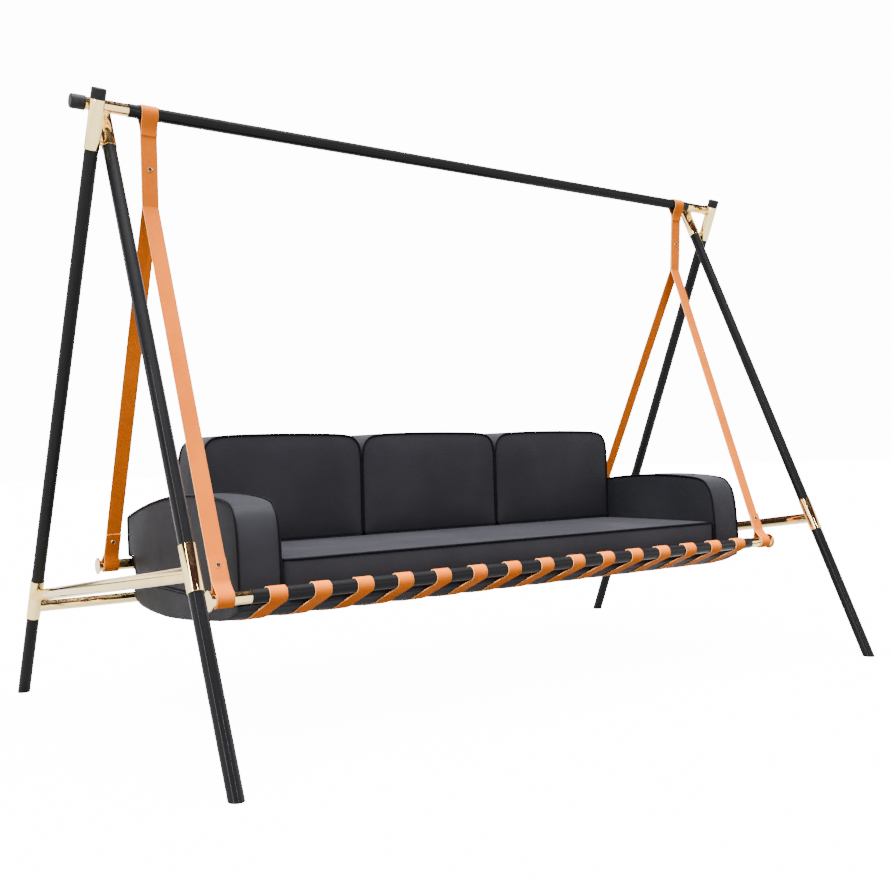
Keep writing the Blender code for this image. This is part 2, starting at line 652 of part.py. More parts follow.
back_low = SEAT_TOP + CUSHION_GAP
back_outline = [(BACK_FRONT, back_low), (BACK_REAR_LOW, back_low), (BACK_REAR_TOP, BACK_TOP),
                (BACK_FRONT, BACK_TOP)]
pitch = 2 * ARM_INNER_HALF / BACK_COUNT
for number, place in enumerate(("left", "middle", "right")[:BACK_COUNT]):
    low_x = -ARM_INNER_HALF + pitch * number + CUSHION_GAP
    slab(f"back_cushion_{place}", back_outline, low_x, low_x + pitch - 2 * CUSHION_GAP, 0.025)

over_rail = RAIL_BACK[1] + RAIL_RADIUS + BAND_THICKNESS + 2 * ARM_RAIL_CLEARANCE
before_rail = RAIL_BACK[0] - RAIL_RADIUS - BAND_THICKNESS - 2 * ARM_RAIL_CLEARANCE
arm_outline = [(SEAT_FRONT + 0.003 + (ARM_BACK - SEAT_FRONT - 0.003) * y, seat_low + ARM_HEIGHT * z)
               for y, z in ARM_OUTLINE]
arm_outline += [(ARM_BACK, over_rail), (before_rail, over_rail), (before_rail, seat_low)]
for side_name, side in SIDES:
    low_x, high_x = sorted((side * ARM_INNER_HALF, side * SEAT_HALF_WIDTH))
    slab(f"arm_cushion_{side_name}", arm_outline, low_x, high_x, 0.010)
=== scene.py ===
import math

import bmesh
import bpy
import numpy as np
from mathutils import Euler, Matrix, Vector


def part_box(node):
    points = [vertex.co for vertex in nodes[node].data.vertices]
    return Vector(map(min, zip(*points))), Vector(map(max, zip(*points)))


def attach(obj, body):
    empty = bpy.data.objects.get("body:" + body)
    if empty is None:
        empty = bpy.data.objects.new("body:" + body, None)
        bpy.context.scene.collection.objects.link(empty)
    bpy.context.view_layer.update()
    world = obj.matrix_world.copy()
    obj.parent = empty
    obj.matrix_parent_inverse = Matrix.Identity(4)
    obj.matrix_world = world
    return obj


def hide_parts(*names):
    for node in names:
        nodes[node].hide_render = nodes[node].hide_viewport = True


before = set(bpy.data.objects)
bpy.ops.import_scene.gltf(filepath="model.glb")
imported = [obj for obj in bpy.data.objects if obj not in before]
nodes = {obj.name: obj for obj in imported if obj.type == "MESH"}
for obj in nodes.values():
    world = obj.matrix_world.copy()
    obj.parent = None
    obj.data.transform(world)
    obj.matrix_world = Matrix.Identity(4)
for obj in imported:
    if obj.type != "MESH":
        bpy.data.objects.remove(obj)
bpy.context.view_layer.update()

# Studio ------------------------------------------------------------------------------------------
# A pale studio floor under a white sky that lights mostly from overhead, with two tall strip
# lights. Polished metal shows a bright horizon, a dark ceiling, a dim patch of room in front and a
# dim shelf behind.

CAMERA_PLACE = (-2.340, -3.246, 0.828)
CAMERA_HEADING, CAMERA_TILT, CAMERA_ROLL = 0.6230, 0.0327, -0.0261
CAMERA_LENS = 41.79
CAMERA_SHIFT = (-0.0196, -0.0274)
OVERHEAD_LIGHT, FAINT_LIGHT = 58.0, 0.12
MIRRORED_LIGHT, WHITE_GROUND, FLOOR_IN_MIRRORS = 3.1, 14.0, 0.7


def add_node(tree, kind, sockets=None, **settings):
    """Add a shader node: its own settings by name, and each input linked to a socket or set."""
    made = tree.nodes.new("ShaderNode" + kind)
    for key, value in settings.items():
        setattr(made, key, value)
    for key, value in (sockets or {}).items():
        if isinstance(value, bpy.types.NodeSocket):
            tree.links.new(value, made.inputs[key])
        else:
            made.inputs[key].default_value = value
    return made


def math_node(tree, operation, first, second=0.0):
    """One step of arithmetic on two sockets or numbers."""
    return add_node(tree, "Math", {0: first, 1: second}, operation=operation).outputs[0]


def ranged(tree, value, low, high, to_low=0.0, to_high=1.0):
    """A value eased from one range into another."""
    return add_node(tree, "MapRange", {"Value": value, "From Min": low, "From Max": high,
                                       "To Min": to_low, "To Max": to_high},
                    interpolation_type="SMOOTHSTEP").outputs["Result"]


def mixed(tree, share, first, second):
    """Two colours mixed by a share."""
    made = add_node(tree, "Mix", {0: share, 6: first, 7: second}, data_type="RGBA")
    return made.outputs[2]


def new_material(name, **settings):
    """A material with a Principled shader, and constants on the shader's own sockets."""
    made = bpy.data.materials.new(name)
    made.use_nodes = True
    shader = made.node_tree.nodes["Principled BSDF"]
    for key, value in settings.items():
        shader.inputs[key.replace("_", " ").title().replace("Ior", "IOR")].default_value = value
    return made, made.node_tree, shader


camera = bpy.data.objects.new("camera", bpy.data.cameras.new("camera"))
bpy.context.scene.collection.objects.link(camera)
camera.location = CAMERA_PLACE
facing = Euler((math.pi / 2 + CAMERA_TILT, 0, -CAMERA_HEADING)).to_matrix()
camera.rotation_euler = (facing @ Matrix.Rotation(CAMERA_ROLL, 3, "Z")).to_euler()
camera.data.lens = CAMERA_LENS
camera.data.shift_x, camera.data.shift_y = CAMERA_SHIFT
bpy.context.scene.camera = camera

world = bpy.data.worlds.new("studio")
bpy.context.scene.world = world
world.use_nodes = True
sky = world.node_tree
sky.nodes.clear()
ROOM_WAY = Vector((-0.57, -0.81, 0.06)).normalized()      # towards the dim part of the room
direction = add_node(sky, "TexCoord").outputs["Generated"]
towards = add_node(sky, "VectorMath", {0: direction, 1: ROOM_WAY}, operation="DOT_PRODUCT").outputs["Value"]
parts = add_node(sky, "SeparateXYZ", {0: direction}).outputs
height = parts["Z"]
shelf = math_node(sky, "MULTIPLY", ranged(sky, height, 0.06, 0.11),
                  ranged(sky, height, 0.19, 0.24, 1.0, 0.0))
shelf = math_node(sky, "MULTIPLY", shelf, ranged(sky, parts["Y"], 0.55, 0.80, 0.0, 0.85))
dim = math_node(sky, "MAXIMUM", ranged(sky, towards, 0.84, 0.93), ranged(sky, height, 0.31, 0.48))
dim = math_node(sky, "MAXIMUM", dim, shelf)
pattern = mixed(sky, dim, (1.0, 0.98, 0.96, 1), (0.018, 0.007, 0.014, 1))
rays = add_node(sky, "LightPath").outputs
overhead = math_node(sky, "POWER", math_node(sky, "MAXIMUM", height, 0.0), 6.0)
glow = math_node(sky, "ADD", math_node(sky, "MULTIPLY", overhead, OVERHEAD_LIGHT), FAINT_LIGHT)
soft = add_node(sky, "Background", {"Color": (0.98, 0.98, 1.0, 1), "Strength": glow})
mirrored = add_node(sky, "Background", {"Color": pattern, "Strength": MIRRORED_LIGHT})
shown = add_node(sky, "Background", {"Color": (1, 1, 1, 1), "Strength": WHITE_GROUND})
lit = add_node(sky, "MixShader", {0: rays["Is Glossy Ray"], 1: soft.outputs[0], 2: mirrored.outputs[0]})
both = add_node(sky, "MixShader", {0: rays["Is Camera Ray"], 1: lit.outputs[0], 2: shown.outputs[0]})
add_node(sky, "OutputWorld", {"Surface": both.outputs[0]})


def softbox(name, place, aim_at, width, height, power):
    """A rectangular lamp that faces a point."""
    lamp = bpy.data.objects.new(name, bpy.data.lights.new(name, "AREA"))
    bpy.context.scene.collection.objects.link(lamp)
    lamp.location = place
    lamp.rotation_euler = (Vector(aim_at) - Vector(place)).to_track_quat("-Z", "Y").to_euler()
    lamp.data.shape = "RECTANGLE"
    lamp.data.size, lamp.data.size_y = width, height
    lamp.data.energy = power


softbox("left_softbox", (-5.3, -3.0, 3.4), (-0.6, 0, 1.1), 0.36, 5.2, 230)
softbox("front_softbox", (-0.4, -5.9, 1.9), (-0.6, 0, 0.8), 0.14, 3.7, 130)

FLOOR_RADIUS = 60.0
FLOOR_SINK = 0.0005
floor_material, tree, shader = new_material("studio_floor", roughness=0.6, specular_ior_level=0.2)
speckle = add_node(tree, "TexNoise", {"Vector": add_node(tree, "TexCoord").outputs["Object"],
                                      "Scale": 3.0, "Detail": 3.0}).outputs["Fac"]
tone = mixed(tree, speckle, (0.12, 0.12, 0.12, 1), (0.14, 0.14, 0.14, 1))
tree.links.new(tone, shader.inputs["Base Color"])
shader.inputs["Emission Color"].default_value = (1, 1, 1, 1)
rays = add_node(tree, "LightPath").outputs
shine = math_node(tree, "ADD", math_node(tree, "MULTIPLY", rays["Is Camera Ray"], WHITE_GROUND),
                  math_node(tree, "MULTIPLY", rays["Is Glossy Ray"], FLOOR_IN_MIRRORS))
tree.links.new(shine, shader.inputs["Emission Strength"])
floor_mesh = bpy.data.meshes.new("studio_floor")
around = np.linspace(0, 2 * np.pi, 64, endpoint=False)
ring = np.stack([FLOOR_RADIUS * np.cos(around), FLOOR_RADIUS * np.sin(around),
                 np.full(64, -FLOOR_SINK)], 1)
floor_mesh.from_pydata(ring.tolist(), [], [list(range(64))])
floor_mesh.materials.append(floor_material)
studio_floor = bpy.data.objects.new("studio_floor", floor_mesh)
bpy.context.scene.collection.objects.link(studio_floor)


# Top bar -----------------------------------------------------------------------------------------
# A 42 mm steel tube, powder coated satin black, with two low rings rolled on beside each hanging
# strap. Polished champagne brass ends are spigoted into it, and black caps are pressed over them.

AROUND = 96                       # points round a turned piece
EDGE_BREAK = 0.0006               # rounding of a turned edge
SEAM = 0.0003                     # gap between two pieces that lie against each other


def middle(node):
    """Middle of a node's box, which on a plain turned node lies on its axis."""
    low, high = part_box(node)
    return np.array((low + high) / 2)


def gathered(items, what):
    """One triple of numbers for each of a mesh's points or faces, as the rows of an array."""
    flat = np.empty(len(items) * 3, np.float32)
    items.foreach_get(what, flat)
    return flat.reshape(-1, 3)


def along_axis(node, origin, way):
    """Lowest and highest place of a node along an axis."""
    places = (gathered(nodes[node].data.vertices, "co").astype(float) - origin) @ way
    return places.min(), places.max()


def make_piece(name, points, faces, material, smooth_angle=40):
    """A mesh object from points and quads, its doubles merged and its faces turned outwards."""
    mesh = bpy.data.meshes.new(name)
    mesh.from_pydata(np.asarray(points).reshape(-1, 3).tolist(), [], faces)
    form = bmesh.new()
    form.from_mesh(mesh)
    bmesh.ops.remove_doubles(form, verts=form.verts, dist=1e-6)
    bmesh.ops.recalc_face_normals(form, faces=form.faces)
    form.to_mesh(mesh)
    form.free()
    mesh.shade_smooth()
    mesh.set_sharp_from_angle(angle=math.radians(smooth_angle))
    mesh.materials.append(material)
    made = bpy.data.objects.new(name, mesh)
    bpy.context.scene.collection.objects.link(made)
    return made


def grid_faces(rows, columns, wrap_rows, wrap_columns):
    """Quads of a grid of points: each joins a point to its next ones along and across."""
    i, j = np.meshgrid(np.arange(rows if wrap_rows else rows - 1),
                       np.arange(columns if wrap_columns else columns - 1), indexing="ij")
    i, j = i.ravel(), j.ravel()
    up, right = (i + 1) % rows, (j + 1) % columns
    return np.stack([i * columns + j, up * columns + j, up * columns + right, i * columns + right], 1)


def square_to(way):
    """Two unit directions square to a direction and to each other."""
    side = np.cross(way, (0, 0, 1) if abs(way[2]) < 0.9 else (1, 0, 0))
    side = side / np.linalg.norm(side)
    return side, np.cross(way, side)


def rounded(profile, radius=EDGE_BREAK, closed=False, steps=4):
    """A profile with each corner c turned into the curve (1-t)^2 a + 2t(1-t) c + t^2 b, where a and
    b lie on the two sides, a radius away or less than half a side."""
    p = np.array(profile, float)
    before, after = np.roll(p, 1, 0) - p, np.roll(p, -1, 0) - p
    t = np.linspace(0, 1, steps)[None, :, None]

    def stepped(side):
        length = np.maximum(np.linalg.norm(side, axis=1, keepdims=True), 1e-9)
        return p + side / length * np.minimum(radius, 0.45 * length)

    curve = ((1 - t) ** 2 * stepped(before)[:, None] + 2 * t * (1 - t) * p[:, None]
             + t ** 2 * stepped(after)[:, None])
    if closed:
        return curve.reshape(-1, 2)
    return np.concatenate([p[:1], curve[1:-1].reshape(-1, 2), p[-1:]])


def turned(name, origin, way, profile, material, closed=False, trim=None):
    """A turned surface: point (i, j) is origin + way * along_i + radius_i * (u cos a_j + v sin a_j),
    where u and v are square to way. trim slides the points along way, for a cut that isn't square."""
    section = rounded(profile, closed=closed)
    u, v = square_to(way)
    angle = np.linspace(0, 2 * np.pi, AROUND, endpoint=False)
    spokes = np.cos(angle)[:, None] * u + np.sin(angle)[:, None] * v
    points = origin + section[:, 1, None, None] * way + section[:, 0, None, None] * spokes
    if trim:
        points = trim(points)
    return make_piece(name, points, grid_faces(len(section), AROUND, closed, True).tolist(), material)


def new_group(name, inputs, outputs):
    """A shader node group: inputs as {name: default value}, outputs as {name: socket kind}."""
    group = bpy.data.node_groups.new(name, "ShaderNodeTree")
    for label, value in inputs.items():
        socket = group.interface.new_socket(label, in_out="INPUT", socket_type="NodeSocketFloat")
        socket.default_value = value
    for label, kind in outputs.items():
        group.interface.new_socket(label, in_out="OUTPUT", socket_type="NodeSocket" + kind)
    return group, group.nodes.new("NodeGroupInput").outputs, group.nodes.new("NodeGroupOutput").inputs


def handling_marks():
    """Faint smudges and dust of a handled surface: large soft noise times small noise, and a fine
    skin of noise for the surface's own unevenness."""
    group, given, result = new_group("handling_marks", {"Patch": 9.0, "Skin": 700.0},
                                     {"Smudge": "Float", "Skin": "Float"})
    place = add_node(group, "TexCoord").outputs["Object"]
    broad = add_node(group, "TexNoise", {"Vector": place, "Scale": given["Patch"], "Detail": 4.0,
                                         "Roughness": 0.6}).outputs["Fac"]
    small = add_node(group, "TexNoise", {"Vector": place, "Scale": 85.0, "Detail": 3.0}).outputs["Fac"]
    fine = add_node(group, "TexNoise", {"Vector": place, "Scale": given["Skin"],
                                        "Detail": 2.0}).outputs["Fac"]
    smudge = math_node(group, "MULTIPLY", ranged(group, broad, 0.42, 0.68), ranged(group, small, 0.30, 0.70))
    group.links.new(smudge, result["Smudge"])
    group.links.new(fine, result["Skin"])
    return group


def use_group(tree, group, **values):
    """Place a node group with its own values."""
    made = add_node(tree, "Group", node_tree=group)
    for key, value in values.items():
        made.inputs[key].default_value = value
    return made.outputs


def bumped(tree, shader, height, strength, distance):
    """Raise a surface by a height that changes over it."""
    bump = add_node(tree, "Bump", {"Height": height, "Strength": strength, "Distance": distance})
    tree.links.new(bump.outputs["Normal"], shader.inputs["Normal"])


marks = handling_marks()


def black_coat(name, low_rough, high_rough, coat_share, body_shine):
    """Black powder coat: an even, very dark blue-black under faint smudges that dull its clear skin."""
    made, tree, shader = new_material(name, specular_ior_level=body_shine, coat_roughness=0.08,
                                      coat_ior=1.17)
    marked = use_group(tree, marks, Patch=6.0, Skin=160.0)
    tone = mixed(tree, marked["Smudge"], (0.0030, 0.0030, 0.0034, 1), (0.0042, 0.0042, 0.0047, 1))
    tree.links.new(tone, shader.inputs["Base Color"])
    tree.links.new(ranged(tree, marked["Smudge"], 0, 1, low_rough, high_rough), shader.inputs["Roughness"])
    dulled = ranged(tree, marked["Smudge"], 0, 1, coat_share, coat_share * 0.85)
    tree.links.new(dulled, shader.inputs["Coat Weight"])
    bumped(tree, shader, marked["Skin"], 0.02, 0.00002)
    return made


def champagne_brass():
    """Polished pale brass: mirror bright, with smudges and a slight warm and cool drift of tone."""
    made, tree, shader = new_material("champagne_brass", metallic=1.0)
    marked = use_group(tree, marks, Patch=11.0, Skin=240.0)
    tone = mixed(tree, marked["Skin"], (0.97, 0.72, 0.28, 1), (1.0, 0.78, 0.36, 1))
    dulled = mixed(tree, marked["Smudge"], tone, (0.90, 0.64, 0.24, 1))
    tree.links.new(dulled, shader.inputs["Base Color"])
    tree.links.new(ranged(tree, marked["Smudge"], 0, 1, 0.06, 0.13), shader.inputs["Roughness"])
    bumped(tree, shader, marked["Skin"], 0.02, 0.00005)
    return made


def moulded_black():
    """Moulded black plastic, matt, with a spark-eroded texture."""
    made, tree, shader = new_material("moulded_black", specular_ior_level=0.12)
    marked = use_group(tree, marks, Patch=20.0, Skin=1500.0)
    tone = mixed(tree, marked["Smudge"], (0.0060, 0.0060, 0.0066, 1), (0.0100, 0.0100, 0.0105, 1))
    tree.links.new(tone, shader.inputs["Base Color"])
    tree.links.new(ranged(tree, marked["Skin"], 0.3, 0.7, 0.42, 0.58), shader.inputs["Roughness"])
    bumped(tree, shader, marked["Skin"], 0.25, 0.0001)
    return made


coat = black_coat("black_coat_satin", 0.50, 0.58, 0.90, 0.02)
# The back legs' matt copy of the coat is a shaded copy: it paints the duller look the light gives them, not a
# finish of their own.
shaded_copy_coat = black_coat("black_coat_shaded_copy", 0.55, 0.62, 0.04, 0.12)
brass, plastic = champagne_brass(), moulded_black()


def fit(piece, body, slot, *replaced):
    """Fix a finished piece to its body, in place of the nodes that it stands for. The slot is not used."""
    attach(piece, body)
    if replaced:
        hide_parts(*replaced)
    return piece


TUBE_WALL = 0.002
RING_HEIGHT, RING_WIDTH = 0.0017, 0.006
STRAP_PLAY = 0.002                # between a strap's edge and the ring beside it
X_WAY = np.array((1.0, 0.0, 0.0))
SIDES = (("left", -1), ("right", 1))

bar_axis = middle("top_bar")
bar_low, bar_high = along_axis("top_bar", bar_axis, X_WAY)
bar_radius = float(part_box("top_bar")[1].z) - bar_axis[2] - RING_HEIGHT
STRAP_WIDTH, STRAP_TOP_HALF = 0.053, 1.223
section = [(bar_radius, bar_high)]
for strap_middle in (STRAP_TOP_HALF, -STRAP_TOP_HALF):
    for edge in (strap_middle + STRAP_WIDTH / 2 + STRAP_PLAY + RING_WIDTH,
                 strap_middle - STRAP_WIDTH / 2 - STRAP_PLAY):
        section += [(bar_radius, edge), (bar_radius + RING_HEIGHT, edge),
                    (bar_radius + RING_HEIGHT, edge - RING_WIDTH), (bar_radius, edge - RING_WIDTH)]
section += [(bar_radius, bar_low), (bar_radius - TUBE_WALL, bar_low), (bar_radius - TUBE_WALL, bar_high)]
fit(turned("top_bar_tube", bar_axis, X_WAY, section, coat, closed=True), "frame", "black_coat", "top_bar")

END_WALL, BAR_END_RADIUS = 0.003, 0.0197
SPIGOT_PLAY = 0.0004
CAP_CHAMFER, CAP_FACE = 0.003, 0.0117
for side_name, side in SIDES:
    way = X_WAY * side
    low, high = along_axis(f"bar_end_{side_name}", bar_axis, way)
    radius, spigot = BAR_END_RADIUS, bar_radius - TUBE_WALL - SPIGOT_PLAY
    fit(turned(f"bar_end_sleeve_{side_name}", bar_axis, way, [
        (radius, high), (radius, bar_high + SEAM), (spigot, bar_high + SEAM), (spigot, low),
        (radius - END_WALL, low), (radius - END_WALL, high)], brass, closed=True),
        "frame", "pale_brass", f"bar_end_{side_name}")
    low, high = along_axis(f"bar_cap_{side_name}", bar_axis, way)
    radius = float(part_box(f"bar_cap_{side_name}")[1].z) - bar_axis[2]
    fit(turned(f"bar_end_cap_{side_name}", bar_axis, way, [
        (0, high), (radius - CAP_CHAMFER, high), (radius, high - CAP_CHAMFER), (radius, low),
        (BAR_END_RADIUS + SEAM, low), (BAR_END_RADIUS + SEAM, high - CAP_FACE), (0, high - CAP_FACE)],
        plastic), "frame", "black_cap", f"bar_cap_{side_name}")


# Legs --------------------------------------------------------------------------------------------
# Four 42 mm steel tubes cut level with the floor, all in one black coat: satin on the front pair,
# and on the pair with its feet at the back a matt copy of it, a shaded copy that paints the duller
# look the light gives them. That back pair passes in front of the bar and wears a black cap;
# polished brass collars sleeve all four at the bar and at the crossbar, and a bolt ties the two legs
# where they cross.

LEG_WAYS = {}
LEG_TUBE_RADIUS = 0.0212
COLLAR_RADIUS = 0.0232
FOOT_PLUG = 0.060
LEG_CAP_WALL, LEG_CAP_CHAMFER, LEG_CAP_FACE = 0.0018, 0.002, 0.0120


def level_foot(way):
    """A trim that slides what lies under the floor up the leg until it is level with it."""
    def trim(points):
        sink = np.where(points[..., 2] < 0, -points[..., 2] / way[2], 0)
        return points + sink[..., None] * way
    return trim


for side_name, side in SIDES:
    for leg, upper in (("back", f"back_leg_cap_{side_name}"),
                       ("front", f"front_leg_upper_collar_{side_name}")):
        base = middle(f"{leg}_leg_lower_collar_{side_name}")
        way = middle(upper) - base
        way = way / np.linalg.norm(way)
        base = base - way * base[2] / way[2]
        LEG_WAYS[leg, side_name] = base, way
        _, high = along_axis(f"{leg}_leg_{side_name}", base, way)
        bore, below = LEG_TUBE_RADIUS - TUBE_WALL, 0.03
        # Back legs take the shaded copy of the coat, front legs the satin coat.
        fit(turned(f"{leg}_leg_tube_{side_name}", base, way, [
            (0, FOOT_PLUG), (bore, FOOT_PLUG), (bore, high), (LEG_TUBE_RADIUS, high),
            (LEG_TUBE_RADIUS, -below), (0, -below)], {"back": shaded_copy_coat, "front": coat}[leg],
            trim=level_foot(way)),
            "frame", "black_coat", f"{leg}_leg_{side_name}")
        for level in ("upper", "lower"):
            node = f"{leg}_leg_{level}_collar_{side_name}"
            low, high = along_axis(node, base, way)
            fit(turned(node.replace("collar", "sleeve"), base, way, [
                (COLLAR_RADIUS, high), (COLLAR_RADIUS, low), (LEG_TUBE_RADIUS + SEAM, low),
                (LEG_TUBE_RADIUS + SEAM, high)], brass, closed=True), "frame", "pale_brass", node)
    base, way = LEG_WAYS["back", side_name]
    low, high = along_axis(f"back_leg_cap_{side_name}", base, way)
    radius, inside = LEG_TUBE_RADIUS + LEG_CAP_WALL, LEG_TUBE_RADIUS + SEAM
    fit(turned(f"back_leg_top_cap_{side_name}", base, way, [
        (0, high), (radius - LEG_CAP_CHAMFER, high), (radius, high - LEG_CAP_CHAMFER), (radius, low),
        (inside, low), (inside, high - LEG_CAP_FACE), (0, high - LEG_CAP_FACE)], plastic),
        "frame", "black_cap", f"back_leg_cap_{side_name}")


def nearest(point, way, other, other_way):
    """The points of two lines that lie nearest to each other."""
    apart, slant = other - point, way @ other_way
    first = (apart @ way - slant * (apart @ other_way)) / (1 - slant * slant)
    second = (first * slant - apart @ other_way)
    return point + first * way, other + second * other_way


def domed_bolt(name, start, end, radius, head):
    """A shank between two points with a low domed head at each end, where it meets its seat."""
    length = np.linalg.norm(end - start)
    dome, brim = 0.0028, 0.0012
    fit(turned(name, start, (end - start) / length, [
        (0, length), (head * 0.75, length), (head, length - brim), (head, length - dome),
        (radius, length - dome - brim), (radius, dome + brim), (head, dome), (head, brim),
        (head * 0.75, 0), (0, 0)], brass), "frame", "pale_brass")


BOLT_HEAD, BOSS_SHANK, CROSS_BOLT_SHANK = 0.0085, 0.006, 0.005
SEAT_GAP, BOSS_SINK, BOLT_SINK = 0.0002, 0.0006, 0.0004
CROSS_BOLT_RISE = 0.0145          # bolt above the height where the legs cross
for side_name, side in SIDES:
    for leg in ("back", "front"):
        on_bar, on_tube = nearest(bar_axis, X_WAY, *LEG_WAYS[leg, side_name])
        arm = (on_tube - on_bar) / np.linalg.norm(on_tube - on_bar)
        domed_bolt(f"bar_boss_{leg}_{side_name}", on_bar + arm * (BAR_END_RADIUS - BOSS_SINK),
                   on_tube - arm * (COLLAR_RADIUS + SEAT_GAP), BOSS_SHANK, BOLT_HEAD)
    base, way = LEG_WAYS["back", side_name]
    other, other_way = LEG_WAYS["front", side_name]
    crossing, _ = nearest(base, way, other, other_way)
    start = crossing + way * CROSS_BOLT_RISE / way[2]
    end = other + ((start - other) @ other_way) * other_way
    arm = (end - start) / np.linalg.norm(end - start)
    domed_bolt(f"cross_bolt_{side_name}", start + arm * (COLLAR_RADIUS - BOLT_SINK),
               end - arm * (COLLAR_RADIUS + SEAT_GAP), CROSS_BOLT_SHANK, BOLT_HEAD)


# Crossbars and rear stretcher --------------------------------------------------------------------
# Polished brass tube, its ends cut to fit round the leg collars and brazed on. The rear stretcher
# runs the width of the swing, low down between the back legs.

CROSSBAR_RADIUS, STRETCHER_RADIUS = 0.0205, 0.0195
CROSSBAR_REAR, CROSSBAR_FRONT = 0.3680, 0.5340    # heights of the crossbar's two ends


def coped(name, start, end, radius, mates):
    """A straight tube whose ends fit its mates: each line of its surface is cut where it meets a
    mate's round collar, at the root of |q + t way - mate axis| = collar radius nearest the tube."""
    length = np.linalg.norm(end - start)
    way = (end - start) / length

    def meeting(points, base, mate_way, want_high):
        offset = points - base
        flat = offset - (offset @ mate_way)[..., None] * mate_way
        across = way - (way @ mate_way) * mate_way
        a, b = across @ across, 2 * (flat @ across)
        c = (flat ** 2).sum(-1) - (COLLAR_RADIUS + SEAM) ** 2
        root = np.sqrt(np.maximum(b * b - 4 * a * c, 0))
        return (-b + (root if want_high else -root)) / (2 * a)

    def trim(points):
        place = (points - start) @ way
        ground = points - place[..., None] * way
        low = meeting(ground, *mates[0], True)
        high = meeting(ground, *mates[1], False)
        share = place / length
        return ground + (low + (high - low) * share)[..., None] * way

    return turned(name, start, way, [(radius, length), (radius, 0), (radius - TUBE_WALL, 0),
                                     (radius - TUBE_WALL, length)], brass, closed=True, trim=trim)


def on_leg(leg, side_name, height):
    """Point on a leg's axis at a height."""
    base, way = LEG_WAYS[leg, side_name]
    return base + way * height / way[2]


for side_name, side in SIDES:
    fit(coped(f"crossbar_tube_{side_name}", on_leg("back", side_name, CROSSBAR_REAR),
              on_leg("front", side_name, CROSSBAR_FRONT), CROSSBAR_RADIUS,
              (LEG_WAYS["back", side_name], LEG_WAYS["front", side_name])),
        "frame", "pale_brass", f"side_crossbar_{side_name}")
stretcher_height = middle("rear_stretcher")[2]
fit(coped("rear_stretcher_tube", on_leg("back", "left", stretcher_height),
          on_leg("back", "right", stretcher_height), STRETCHER_RADIUS,
          (LEG_WAYS["back", "left"], LEG_WAYS["back", "right"])), "frame", "pale_brass", "rear_stretcher")


# Seat rails --------------------------------------------------------------------------------------
# Two black steel tubes carry the sling. A turned brass end is spigoted into each end of them, and
# its disc keeps the hanging strap from sliding off.

RAIL_END_RADIUS, DISC_RADIUS, DISC_THICKNESS = 0.0197, 0.0299, 0.005
RAIL_RADIUS, RAIL_SPIGOT = 0.0212, 0.060
rails = {rail: middle(f"{rail}_rail") for rail in ("front", "back")}
for rail, axis in rails.items():
    low, high = along_axis(f"{rail}_rail", axis, X_WAY)
    fit(turned(f"{rail}_rail_tube", axis, X_WAY, [
        (RAIL_RADIUS, high), (RAIL_RADIUS, low), (RAIL_RADIUS - TUBE_WALL, low),
        (RAIL_RADIUS - TUBE_WALL, high)], coat, closed=True), "seat", "black_coat", f"{rail}_rail")
    for side_name, side in SIDES:
        node = f"{rail}_rail_end_{side_name}"
        way = X_WAY * side
        low, high = along_axis(node, axis, way)
        disc, shoulder = high - DISC_THICKNESS, low + RAIL_SPIGOT + SEAM
        spigot, bore = RAIL_RADIUS - TUBE_WALL - SEAM, RAIL_END_RADIUS - END_WALL
        fit(turned(f"{rail}_rail_sleeve_{side_name}", axis, way, [
            (0, high), (DISC_RADIUS - 0.001, high), (DISC_RADIUS, high - 0.001), (DISC_RADIUS, disc),
            (RAIL_END_RADIUS, disc), (RAIL_END_RADIUS, shoulder), (spigot, shoulder), (spigot, low),
            (bore, low), (bore, disc), (0, disc)], brass), "seat", "pale_brass", node)


# Hanging straps ----------------------------------------------------------------------------------
# Vegetable-tanned tan leather, 53 mm wide and 4 mm thick, with raw cut edges. On each side one
# strap loops over the bar and runs to the back rail, the other is clamped to it and runs forward.

STRAP_THICKNESS = 0.004
LOOP_SLACK = 0.0003
PLY = STRAP_THICKNESS + SEAM
STRAP_FOOT_HALF = STRAP_TOP_HALF - 0.040
SPLIT = np.array((0.0139, bar_axis[2] - 0.300))
TOP_MERGE_DROP, TOP_LAP_DROP, TOP_STUD_DROP = 0.060, 0.071, 0.179
RAIL_MERGE, FOOT_STUD_UP = 0.055, 0.100
RAIL_LAP = {"front": 0.122, "back": 0.130}
BAR_WRAP = bar_radius + SEAM + LOOP_SLACK + STRAP_THICKNESS / 2
RAIL_WRAP = RAIL_END_RADIUS + SEAM + LOOP_SLACK + STRAP_THICKNESS / 2


def unit(vector):
    """A direction of length one."""
    return vector / np.linalg.norm(vector)


def arc(centre, radius, start, end, level=(1.0, 0.0), count=40):
    """Points round a circle, at angles in degrees from the direction level."""
    angle = np.radians(np.linspace(start, end, count))[:, None]
    level = np.asarray(level)
    rising = np.array((-level[1], level[0]))
    return centre + radius * (np.cos(angle) * level + np.sin(angle) * rising)


def drifting(origin, down, across, offsets, reaches, count=30):
    """Points along a line while they ease across it: the share across is t t (3 - 2 t)."""
    t = np.linspace(0, 1, count)[:, None]
    eased = t * t * (3 - 2 * t)
    return (origin + down * (reaches[0] + (reaches[1] - reaches[0]) * t)
            + across * (offsets[0] + (offsets[1] - offsets[0]) * eased))


def evenly(path, step):
    """A path's points respaced evenly along its length."""
    lengths = np.concatenate([[0], np.cumsum(np.linalg.norm(np.diff(path, axis=0), axis=1))])
    keep = np.concatenate([[True], np.diff(lengths) > 1e-7])
    wanted = np.linspace(0, lengths[-1], max(int(lengths[-1] / step), 8))
    spaced = [np.interp(wanted, lengths[keep], path[keep, k]) for k in range(path.shape[1])]
    return np.stack(spaced, 1), wanted


def face_centres(piece):
    """The middle of every face of a piece."""
    return gathered(piece.data.polygons, "center").astype(float)


